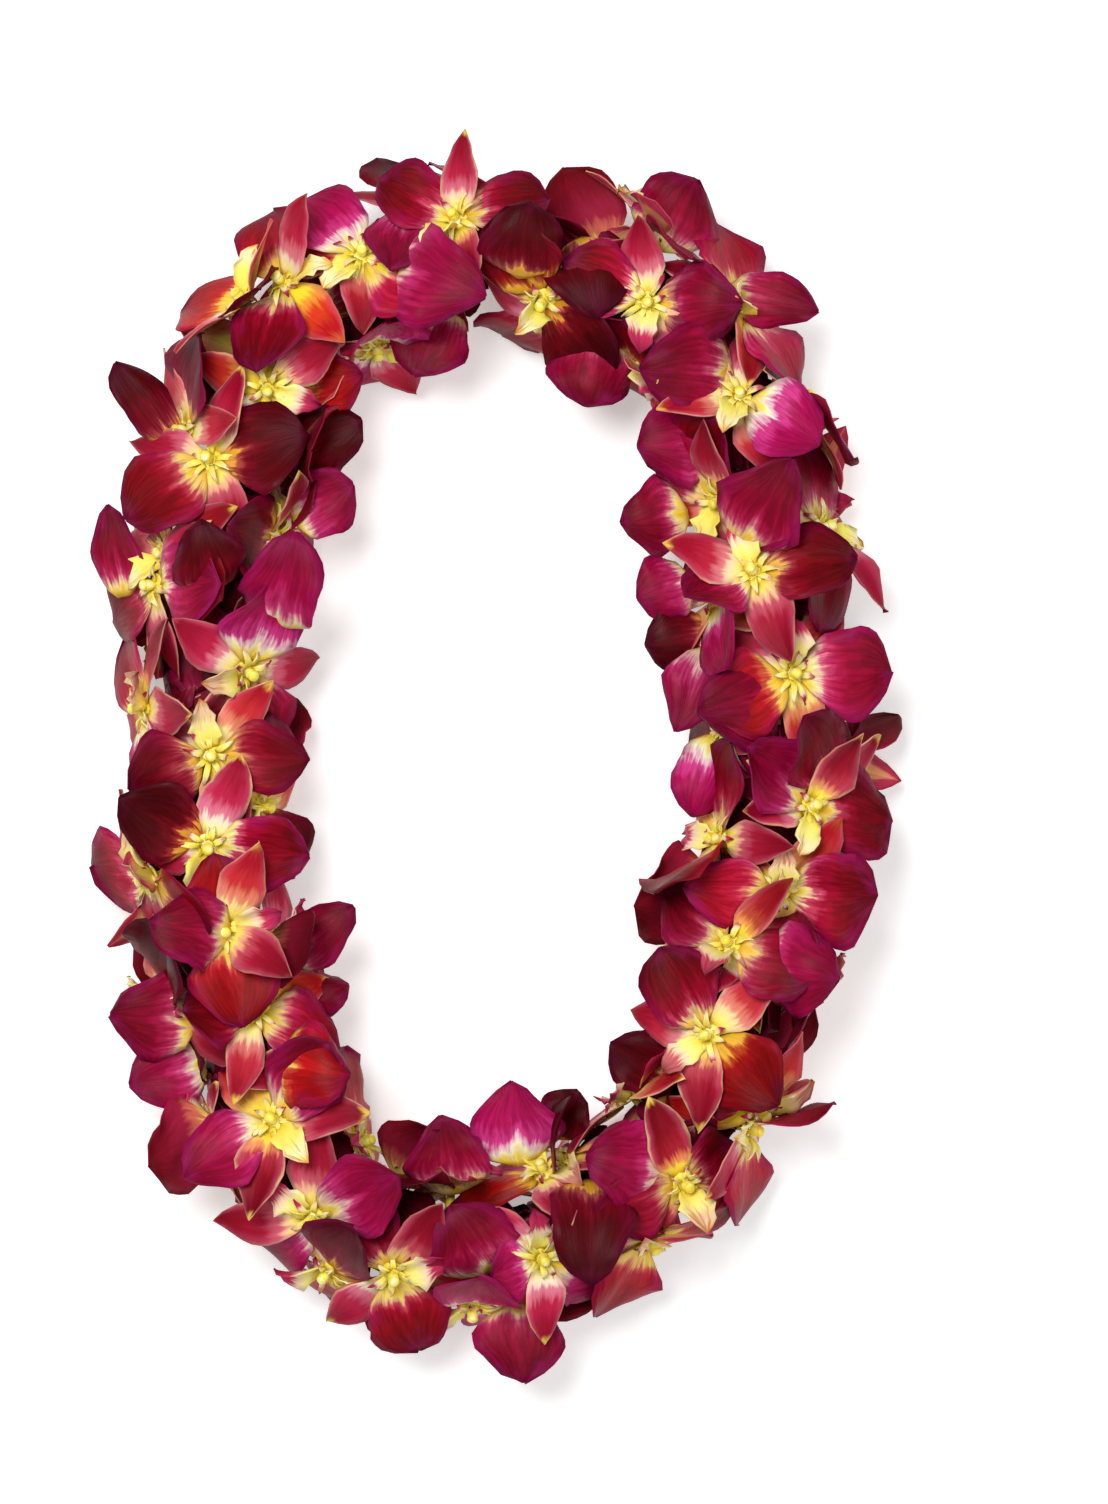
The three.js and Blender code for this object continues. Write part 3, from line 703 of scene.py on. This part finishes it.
def bladePoints(blade, v, u):
    # v runs from -1 to 1 across the blade and u from 0 at its root to 1 at its tip
    shape, detail = blade["shape"], fine[blade["shape"]["kind"]]
    flat, normal = crossAxes(blade, u)
    half = np.sin(np.pi * np.clip(u, 0.001, 0.999) ** shape["outline"][0]) ** shape["outline"][1]
    stir = blade.get("stir", 1)
    half = half * blade["width"] * (1 + (detail["widen"] - 1) * stir)
    pointed = np.clip(1.8 * u - 0.8, 0, 1)  # over the outer half of the blade
    half = half * (1 - detail["taper"] * blade["point"] ** 1.3 * pointed)
    half = half * (1 + detail["fray"] * waved("fray", blade, u, np.sign(v)))
    half = half * (1 + detail["lobes"] * waved("lobes", blade, u, np.sign(v)))
    claw = detail["claw"] * np.clip(1 - u / 0.25, 0, 1)  # the narrow foot, over a quarter of the length
    half = np.maximum(half, claw)
    side = np.abs(v)
    rise = shape["cup"] * half * side ** 1.8
    rise += stir * detail["fold"] * blade["fold"] * half * side * np.sin(np.pi * u)
    rise += shape["wave"] * v ** 2 * waved("wave", blade, u, v)
    ripples = waved("ruffle", blade, u, v) * side ** 3 * np.clip(3 * u, 0, 1)
    rise += stir * detail["ruffle"] * ripples
    rise -= detail["crease"] * np.exp(-(v / 0.16) ** 2) * np.sin(np.pi * u)
    # margins rolled up on one part and down on the next
    rolled = waved("roll", blade, u, np.sign(v)) * np.clip(side - 0.5, 0, 1) ** 1.5
    rise += stir * detail["roll"] * half * rolled * np.clip(2 * u, 0, 1) * 0.4
    # the tip nods, from 0.6 of the length on and by all of nod at its end
    rise += stir * detail["nod"] * blade["fold"] * np.clip(u - 0.6, 0, 1) ** 2 * 6.25
    points = spineAt(blade, u) + wide(v * half) * flat + wide(rise) * normal
    points[:, 2] = np.maximum(points[:, 2], fine["lowest"])
    return points


def makeTepal(blade, nature):
    kind = blade["shape"]["kind"]
    tepal = copyOf(templates[kind])
    v, u = gridOf(templates[kind])
    setPoints(tepal, bladePoints(blade, -v, u))
    setNature(tepal, nature)
    return tepal


# the fine tepals settle: where two of different blooms would cross, both lie closer to the CAD blades

settling = {
    "reach": 75,  # between two hearts whose tepals can meet
    "sweeps": 7,
    "calmer": 0.5,  # how much of its waves a crossing tepal keeps after each sweep
    "calm": 0.2,  # below this it gets narrower too
    "narrower": 0.975,
}
sheetPlans = {kind: (gridOf(template), [tuple(face.vertices) for face in template.data.polygons])
              for kind, template in templates.items()}


def treeOf(blade):
    (v, u), faces = sheetPlans[blade["shape"]["kind"]]
    return BVHTree.FromPolygons(bladePoints(blade, -v, u).tolist(), faces)


def neighboursOf(bloom):
    return [other for other in blooms if other is not bloom
            and np.linalg.norm(other["heart"] - bloom["heart"]) < settling["reach"]]


def treesOf(bloom):
    return {number: treeOf(blade) for number, blade in bloom["blades"].items()}


def crossedBlades(trees):
    crossed = set()
    for bloom in blooms:
        for other in neighboursOf(bloom):
            if other["index"] < bloom["index"]:
                continue
            for number, tree in trees[bloom["index"]].items():
                for second, otherTree in trees[other["index"]].items():
                    if tree.overlap(otherTree):
                        crossed |= {(bloom["index"], number), (other["index"], second)}
    return crossed


def settle():
    trees = {bloom["index"]: treesOf(bloom) for bloom in blooms}
    for sweep in range(settling["sweeps"]):
        crossed = crossedBlades(trees)
        print("sweep", sweep, "tepals that cross another:", len(crossed))
        for index, number in crossed:
            blade = blooms[index]["blades"][number]
            blade["stir"] = blade.get("stir", 1) * settling["calmer"]
            if blade["stir"] < settling["calm"]:
                blade["width"] *= settling["narrower"]
            trees[index][number] = treeOf(blade)
    return trees


tepalTrees = settle()


def crowdRound(near):
    return [tree for other in near for tree in tepalTrees[other["index"]].values()]


def crossingsWith(blade, crowd):
    tree = treeOf(blade)
    return sum(len(tree.overlap(other)) for other in crowd)


# curled strands round a heart: the torn side lobes of its lip
strands = {
    "kind": "strand", "halfWidth": 1.1, "cup": 0.2, "wave": 0.5, "outline": (0.7, 0.5),
    "count": 8, "length": (5, 11), "lift": (20, 60), "curl": (-110, -40), "twist": (-60, 60),
    "firstTurn": 30, "turnSpread": 0.4, "rootRadius": 2.5, "rootRise": 1.2,
}


def strandBlades(bloom):
    index, made = bloom["index"], []
    for number in range(strands["count"]):
        step = number + draw(-strands["turnSpread"], strands["turnSpread"], index, "strand turn", number)
        angle = math.radians(bloom["roll"] + strands["firstTurn"] + 360 * step / strands["count"])
        outward = bloom["across"] * math.cos(angle) + bloom["side"] * math.sin(angle)
        made.append({
            "shape": strands, "outward": outward, "across": np.cross(bloom["front"], outward),
            "front": bloom["front"],
            "root": bloom["heart"] + outward * strands["rootRadius"] + bloom["front"] * strands["rootRise"],
            "length": draw(*strands["length"], index, "strand length", number),
            "width": strands["halfWidth"],
            "lift": math.radians(draw(*strands["lift"], index, "strand lift", number)),
            "curl": math.radians(draw(*strands["curl"], index, "strand curl", number)),
            "twist": math.radians(draw(*strands["twist"], index, "strand twist", number)),
            "phase": draw(0, 2 * math.pi, index, "strand phase", number), "fold": 1, "point": 1,
        })
    crowd = crowdRound(neighboursOf(bloom))
    return [strand for strand in made if not crossingsWith(strand, crowd)]


# crushed inner petals, which lie along the thread between the necks and fill what the outer ones leave open
inner = {
    "kind": "inner", "halfWidth": 13, "cup": -0.3, "wave": 1.2, "outline": (1.0, 0.6),
    "count": 5, "length": (25, 33), "rootRadius": 5, "rootBack": 8,
    "lift": (38, 58), "curl": (-70, -50), "twist": (-20, 20), "aside": (-25, 25),
    "stepPerBloom": 0.382, "turnSpread": (-0.1, 0.1),
    "shares": (1, 0.85, 0.7), "tilts": (0, -18, 12),  # tried in turn, for the fewest crossings
    "lengthCounts": 0.1,  # crossings that a millimetre of length is worth
}


def innerBlades(bloom):
    index, made = bloom["index"], []
    start, end = stretchOf(index)
    forward = unit(end - start)
    outward = np.cross(up, forward)
    crowd = crowdRound(neighboursOf(bloom) + [bloom])
    for number in range(inner["count"]):
        step = number + inner["stepPerBloom"] * index
        step += draw(*inner["turnSpread"], index, "inner turn", number)
        turn = 2 * math.pi * step / inner["count"]
        front = up * math.cos(turn) + outward * math.sin(turn)
        aside = math.radians(draw(*inner["aside"], index, "inner aside", number))
        way = 1 if (index + number) % 2 else -1
        side = np.cross(front, forward * way)
        along = forward * way * math.cos(aside) + side * math.sin(aside)
        crushed = {
            "shape": inner, "outward": along, "across": np.cross(front, along), "front": front,
            "root": bloom["base"] + front * inner["rootRadius"] - forward * way * inner["rootBack"],
            "length": draw(*inner["length"], index, "inner length", number), "width": inner["halfWidth"],
            "lift": math.radians(draw(*inner["lift"], index, "inner lift", number)),
            "curl": math.radians(draw(*inner["curl"], index, "inner curl", number)),
            "twist": math.radians(draw(*inner["twist"], index, "inner twist", number)),
            "phase": draw(0, 2 * math.pi, index, "inner phase", number),
            "fold": draw(-1, 1, index, "inner fold", number),
            "point": draw(0, 1, index, "inner point", number),
        }
        choices = [dict(crushed, length=crushed["length"] * share, lift=crushed["lift"] + math.radians(tilt))
                   for share in inner["shares"] for tilt in inner["tilts"]]
        made.append(min(choices, key=lambda choice: crossingsWith(choice, crowd)
                        - choice["length"] * inner["lengthCounts"]))
    return made


# petals that fold over the neighbouring hearts, or reach out from under the others at the band's edges

outer = {
    "kind": "petal", "cup": -0.22, "wave": 1.0, "outline": (0.9, 0.45),
    # stretch: its length over the length seen from above; peak: how far it arches up, of its length;
    # above: how far over what lies within round of its middle
    "over": {"lift": 75, "curl": -95, "stretch": 1.27, "peak": 0.45, "above": 1.0, "round": 12},
    "edge": {"lift": 30, "curl": -45, "stretch": 1.03},
    "twist": (-15, 15), "backward": 0.55,
}
outerPetals = (  # middle x and y, height of the root or 0 for on top, heading, length seen, half width, tint
    (-105, 70, 0, 100, 26, 12.5, "maroon"), (-10, -180, 0, 120, 30, 15.5, "crimson"),
    (11, 185, 0, 80, 27, 13, "maroon"), (35, 170, 0, -80, 32, 14, "maroon"),
    (-19, 168, 0, -20, 36, 17, "magenta"), (89, 14, 0, 190, 34, 16, "crimson"),
    (46, -152, 0, 170, 30, 15, "magenta"), (77, 160, 0, 0, 30, 14, "crimson"),
    (-113, -67, 0, 170, 28, 13, "crimson"), (113, -84, 0, -10, 30, 15, "magenta"),
    (-65, -119, 0, -10, 28, 14, "scarlet"), (100, 90, 0, 60, 34, 15, "crimson"),
    (68, 136, 0, 180, 34, 14, "crimson"), (35, -180, 0, -90, 36, 14, "maroon"),
    (-76, 61, 0, 75, 34, 13, "magenta"), (-60, 133, 42, 15, 26, 13, "scarlet"),
    (-62, 114, 38, 25, 30, 13, "maroon"), (-63, 90, 40, 30, 26, 12, "magenta"),
    (57, 83, 40, 190, 26, 13, "crimson"), (65, 111, 45, 185, 30, 14, "magenta"),
    (61, 57, 38, 200, 22, 11, "magenta"), (66, 38, 36, 190, 26, 12, "maroon"),
    (35, 136, 42, -100, 28, 14, "crimson"), (-26, 148, 40, -110, 28, 14, "crimson"),
    (7, -139, 40, 95, 32, 15, "pale"), (-18, -151, 38, 100, 30, 14, "crimson"),
    (26, -137, 36, 60, 20, 9, "maroon"), (53, -117, 36, 150, 26, 11, "maroon"),
    (9, -223, 36, -85, 30, 14, "crimson"), (-128, -101, 44, 175, 32, 15, "crimson"),
    (-123, -123, 36, 195, 28, 13, "magenta"), (-64, -70, 38, 40, 34, 9, "crimson"),
    (-66, -93, 34, 20, 28, 9, "crimson"), (-131, 128, 40, 128, 36, 8, "maroon"),
    (68, 197, 44, 60, 30, 15, "crimson"), (-141, 73, 36, 100, 34, 8, "crimson"),
    (104, 163, 44, -14, 34, 9, "crimson"), (72, 18, 38, 250, 32, 10, "magenta"),
    (76, -14, 38, 255, 32, 10, "pale"),
)
tintNatures = {  # how magenta, dark and warm
    "maroon": (0.1, 0.9, 0), "crimson": (0.25, 0.3, 0), "magenta": (0.55, 0.15, 0), "pale": (1, 0, 0),
    "scarlet": (0, 0.2, 0.8),
}
crowdPoints = np.vstack([
    bladePoints(blade, *sheetPlans[blade["shape"]["kind"]][0])
    for bloom in blooms for blade in bloom["blades"].values()
])


def topAt(x, y, reach):
    # the highest point of the tepals round a place
    near = np.hypot(crowdPoints[:, 0] - x, crowdPoints[:, 1] - y) < reach
    return crowdPoints[near, 2].max() if near.any() else lei["threadHeight"]


def outerBlade(number):
    x, y, height, heading, seen, halfWidth, tint = outerPetals[number]
    way = outer["edge"] if height else outer["over"]
    along = np.array([math.cos(math.radians(heading)), math.sin(math.radians(heading)), 0])
    if not height:
        height = topAt(x, y, way["round"]) + way["above"] - way["peak"] * seen * way["stretch"]
    return {
        "shape": outer, "outward": along, "across": np.cross(up, along), "front": up,
        "root": np.array([x, y, height]) - along * seen * outer["backward"],
        "length": seen * way["stretch"], "width": halfWidth,
        "lift": math.radians(way["lift"]), "curl": math.radians(way["curl"]),
        "twist": math.radians(draw(*outer["twist"], number, "outer twist")),
        "phase": draw(0, 2 * math.pi, number, "outer phase"),
        "fold": draw(-1, 1, number, "outer fold"), "point": draw(0, 1, number, "outer point"),
    }


def nearestNode(x, y):
    nearest = min(blooms, key=lambda bloom: math.hypot(bloom["base"][0] - x, bloom["base"][1] - y))
    return nodeOf(nearest["index"])


# colours of the blooms that stand out from above, by how far along the thread they lie
tints = {
    25: "maroon", 266: "maroon", 441: "maroon", 792: "maroon", 92: "magenta", 150: "magenta", 545: "magenta",
    751: "magenta", 858: "magenta", 917: "magenta", 462: "pale", 115: "pale", 621: "warm", 889: "warm",
}
otherTints = ("crimson", "magenta", "maroon", "crimson", "warm", "crimson")
for along, facing, roll in facesUp:
    blooms[indexAt(along)]["tint"] = tints.get(along, "crimson")

# a tepal's nature: what each of its numbers is drawn from, and what its bloom's tint adds to it
petalNature = {
    "magenta": {"drawn": (-0.3, 0.5), "magenta": 0.75, "pale": 0.75},
    "dark": {"drawn": (-0.3, 1.05), "maroon": 0.5, "pale": -0.5, "magenta": -0.4},
    "warm": {"drawn": (-0.8, 0.7), "warm": 0.5},
    "lot": {"drawn": (0, 1)},
}
otherNature = {
    "magenta": {"drawn": (0.1, 1)},
    "dark": {"drawn": (-0.15, 1.0), "pale": -0.4, "warm": -0.4},
    "warm": {"drawn": (-1.0, 0.7), "warm": 0.8},
    "lot": {"drawn": (0, 1)},
}
crushedNature = {"magenta": (0, 0.6), "dark": (0.4, 1)}
strandMagenta = (0.1, 0.9)


def natureOf(bloom, number):
    index = bloom["index"]
    tint = bloom.get("tint") or otherTints[int(draw(0, len(otherTints), index, "tint"))]
    rows = petalNature if tepals[number]["kind"] == "petal" else otherNature
    values = [draw(*row["drawn"], index, name, number) + row.get(tint, 0) for name, row in rows.items()]
    return tuple(min(max(value, 0), 1) for value in values)


def thickened(piece, **more):
    # a sheet gets its thickness, half to each side
    applied(piece, "SOLIDIFY", thickness=fine["thickness"] * mm, offset=0, use_even_offset=False, **more)


def bloomPieces(node, pair):
    parts = []
    for bloom in pair:
        for number, blade in bloom["blades"].items():
            if tepals[number]["kind"] == "lip":
                continue
            parts.append(makeTepal(blade, natureOf(bloom, number)))
        for number, blade in enumerate(innerBlades(bloom)):
            magenta = draw(*crushedNature["magenta"], bloom["index"], "inner magenta", number)
            dark = draw(*crushedNature["dark"], bloom["index"], "inner dark", number)
            lot = draw(0, 1, bloom["index"], "inner lot", number)
            parts.append(makeTepal(blade, (magenta, dark, 0, lot)))
    for number, (x, y, *_, tint) in enumerate(outerPetals):
        if nearestNode(x, y) == node:
            nature = (*tintNatures[tint], draw(0, 1, number, "outer lot"))
            parts.append(makeTepal(outerBlade(number), nature))
    piece = join(parts, f"petals_{node:02d}")
    thickened(piece, material_offset=1, material_offset_rim=0)  # the under side has the next skin
    only(piece)
    bpy.ops.object.shade_smooth()
    return piece


# hearts: the column with its cap, the disc that the tepals grow from, the lip and its torn strands,
# the neck and the pierced base round the thread

heart = {
    "sides": 12, "rounds": 8,
    "columnLength": 6.4, "columnRadius": 2.0, "clubbing": 0.18,
    "capRadius": 2.1, "capPlace": 1.75, "capFlatness": 0.7,
    "discRadius": 4.5, "discHalfThickness": 1.1,
    "neckRadius": 1.9, "neckReach": 1.05,
    "baseRing": 2.75, "baseTube": 1.15, "baseGap": 1.2,
}


def ball(segments, rings):
    # its UV map has the tepals' name, because it is joined to lips
    bpy.ops.object.select_all(action="DESELECT")
    bpy.ops.mesh.primitive_uv_sphere_add(segments=segments, ring_count=rings, radius=1)
    made = bpy.context.object
    made.data.uv_layers[0].name = "tepal"
    return made


def ring(across, around, major, minor):
    bpy.ops.object.select_all(action="DESELECT")
    bpy.ops.mesh.primitive_torus_add(major_segments=across, minor_segments=around, major_radius=major,
                                     minor_radius=minor)
    made = bpy.context.object
    made.data.uv_layers[0].name = "tepal"
    return made


def placed(template, origin, axes, scales, bulge=None):
    # a copy of a unit template, its X, Y and Z laid along three axes from an origin
    made = copyOf(template)
    flat = np.array([vertex.co for vertex in made.data.vertices])
    if bulge is not None:
        flat = bulge(flat)
    points = origin + sum(np.multiply.outer(flat[:, k] * scales[k], axes[k]) for k in range(3))
    setPoints(made, points)
    return made


columnBall = ball(heart["sides"], heart["rounds"])
giveSkins(columnBall, heartSkins, 1)
neckBall = ball(heart["sides"], heart["rounds"])
giveSkins(neckBall, heartSkins, 2)
baseRing = ring(heart["sides"], heart["rounds"], heart["baseRing"], heart["baseTube"])
giveSkins(baseRing, heartSkins, 2)


def clubbed(flat):
    # a column: narrow at the root and wider below its cap
    wider = 1 + heart["clubbing"] * flat[:, 2:3]
    return np.hstack((flat[:, :2] * wider, flat[:, 2:3]))


def heartPieces(node, pair):
    parts = []
    for bloom in pair:
        size, axes = bloom["size"], (bloom["across"], bloom["side"], bloom["front"])
        half = heart["columnLength"] * size / 2
        width = heart["columnRadius"] * size
        middle = bloom["heart"] + bloom["front"] * half
        parts.append(placed(columnBall, middle, axes, (width, width, half), clubbed))
        cap = heart["capRadius"] * size
        top = bloom["heart"] + bloom["front"] * half * heart["capPlace"]
        parts.append(placed(columnBall, top, axes, (cap, cap, cap * heart["capFlatness"])))
        disc = heart["discRadius"] * size
        parts.append(placed(columnBall, bloom["heart"], axes, (disc, disc, heart["discHalfThickness"])))
        foot = bloom["base"] + bloom["face"] * lei["neckSeat"]
        axis = unit(bloom["heart"] - foot)
        across = unit(np.cross(axis, bloom["side"]))
        neck = (across, np.cross(axis, across), axis)
        reach = np.linalg.norm(bloom["heart"] - foot) / 2
        radius = heart["neckRadius"]
        scales = (radius, radius, reach * heart["neckReach"])
        parts.append(placed(neckBall, (bloom["heart"] + foot) / 2, neck, scales))
        start, end = stretchOf(bloom["index"])
        forward = unit(end - start)
        outward = np.cross(up, forward)
        stretch = (pitch - heart["baseGap"]) / 2 / heart["baseTube"]
        parts.append(placed(baseRing, bloom["base"], (outward, up, -forward), (1, 1, stretch)))
    for part in parts:
        setNature(part, (0, 0, 0, 0))
    for bloom in pair:
        for number, blade in bloom["blades"].items():
            if tepals[number]["kind"] == "lip":
                parts.append(makeTepal(blade, natureOf(bloom, number)))
                thickened(parts[-1])
        for number, blade in enumerate(strandBlades(bloom)):
            magenta = draw(*strandMagenta, bloom["index"], "strand magenta", number)
            lot = draw(0, 1, bloom["index"], "strand lot", number)
            parts.append(makeTepal(blade, (magenta, 0, 0, lot)))
            thickened(parts[-1])
    piece = join(parts, f"hearts_{node:02d}")
    only(piece)
    bpy.ops.object.shade_smooth()
    return piece


for first in range(0, lei["bloomCount"], lei["bloomsPerNode"]):
    node = nodeOf(first)
    pair = blooms[first:first + lei["bloomsPerNode"]]
    name = f"blooms_{node:02d}"
    for piece, slot in ((bloomPieces(node, pair), "petals"), (heartPieces(node, pair), "hearts")):
        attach(piece, "root")
        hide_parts(name)
print("blooms made")

# thread: closed through all the bases, with its knot and two cut tails

thread = {
    "radius": 0.7, "rings": 172, "sides": 8, "slant": 2.52,
    "knotRing": 1.5, "knotTilts": (0, 55, 110), "knotRings": 16,
    "tail": (2.7, 7.2, 4.5), "tailRounds": 6,
}


def threadLoop():
    tube, hair = 0.25, 1e-9  # the unit ring's own radius, and what a rounding may be off
    loop = ring(thread["rings"], thread["sides"], 1, tube)
    flat = np.array([vertex.co for vertex in loop.data.vertices])
    share = (np.arctan2(flat[:, 1], flat[:, 0]) / (2 * math.pi)) % 1
    place = np.round(share * thread["rings"]) / thread["rings"] * len(stretchEnds)
    start = np.floor(place + hair).astype(int) % len(stretchEnds)
    part = np.maximum(place - np.floor(place + hair), 0)
    ends = np.array(stretchEnds)
    before, after = ends[start], ends[(start + 1) % len(ends)]
    middle = before + (after - before) * part[:, None]
    axis = (after - before) / np.linalg.norm(after - before, axis=1)[:, None]
    side = np.cross(up, axis)
    radial = np.hypot(flat[:, 0], flat[:, 1]) - 1
    points = middle + thread["radius"] * (flat[:, 2:3] / tube * up + radial[:, None] / tube * side)
    setPoints(loop, points)
    return loop


def threadPiece():
    tie = (stretchEnds[0] + stretchEnds[-1]) / 2
    tail = ball(thread["sides"], thread["tailRounds"])
    parts = [threadLoop()]
    wrap = ring(thread["knotRings"], thread["sides"], thread["knotRing"], thread["radius"])
    for tilt in thread["knotTilts"]:
        turn = math.radians(tilt)
        axes = (np.array((0, math.cos(turn), math.sin(turn))),
                np.array((0, -math.sin(turn), math.cos(turn))),
                np.array((1.0, 0, 0)))
        parts.append(placed(wrap, tie, axes, (1, 1, 1)))
    bpy.data.objects.remove(wrap)
    for way in (-1, 1):
        aside, outward, rise = thread["tail"]
        reach = np.array((way * aside, outward, rise))
        along = unit(reach)
        across = unit(np.cross(along, up))
        axes = (across, np.cross(along, across), along)
        half = np.linalg.norm(reach) / 2
        parts.append(placed(tail, tie + reach / 2, axes, (thread["radius"], thread["radius"], half)))
    bpy.data.objects.remove(tail)
    piece = join(parts, "thread_strand")
    piece.data.materials.append(cottonThread(thread["slant"]))
    only(piece)
    bpy.ops.object.shade_smooth()
    return piece


threadStrand = threadPiece()
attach(threadStrand, "root")
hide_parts("thread")
print("thread made")

for spare in (*templates.values(), columnBall, neckBall, baseRing):
    bpy.data.objects.remove(spare)

# floor and light

studio = {
    "floorSize": 6,  # metres
    "floorColour": "#f6f6f6",
    "floorRoughness": 0.9,
    "floorGlow": 0.37,  # lifts the floor to the picture's white
    "skyStrength": 0.33,
}
floorMaterial, _, floorShader = newMaterial("white paper floor")
floorShader.inputs["Base Color"].default_value = hexColour(studio["floorColour"])
floorShader.inputs["Roughness"].default_value = studio["floorRoughness"]
floorShader.inputs["Emission Color"].default_value = (1, 1, 1, 1)
floorShader.inputs["Emission Strength"].default_value = studio["floorGlow"]
bpy.ops.object.select_all(action="DESELECT")
bpy.ops.mesh.primitive_plane_add(size=studio["floorSize"])
floor = bpy.context.object
floor.name = "floor"
floor.data.materials.append(floorMaterial)

world = bpy.data.worlds.new("soft studio")
world.use_nodes = True
sky = world.node_tree.nodes["Background"]
sky.inputs["Color"].default_value = (1, 1, 1, 1)
sky.inputs["Strength"].default_value = studio["skyStrength"]
bpy.context.scene.world = world

lamps = {
    "key": {"place": (-350, 400, 1500), "size": 700, "power": 19.3},
    "fill": {"place": (800, -500, 1200), "size": 1000, "power": 5},
}
for name, lamp in lamps.items():
    light = bpy.data.lights.new(name, "AREA")
    light.shape = "DISK"
    light.size = lamp["size"] * mm
    light.energy = lamp["power"]
    lightObject = bpy.data.objects.new(name, light)
    bpy.context.scene.collection.objects.link(lightObject)
    lightObject.location = Vector(lamp["place"]) * mm
    lightObject.rotation_euler = (-lightObject.location).to_track_quat("-Z", "Y").to_euler()
bpy.context.scene.view_settings.view_transform = "Standard"
print("floor and light made")
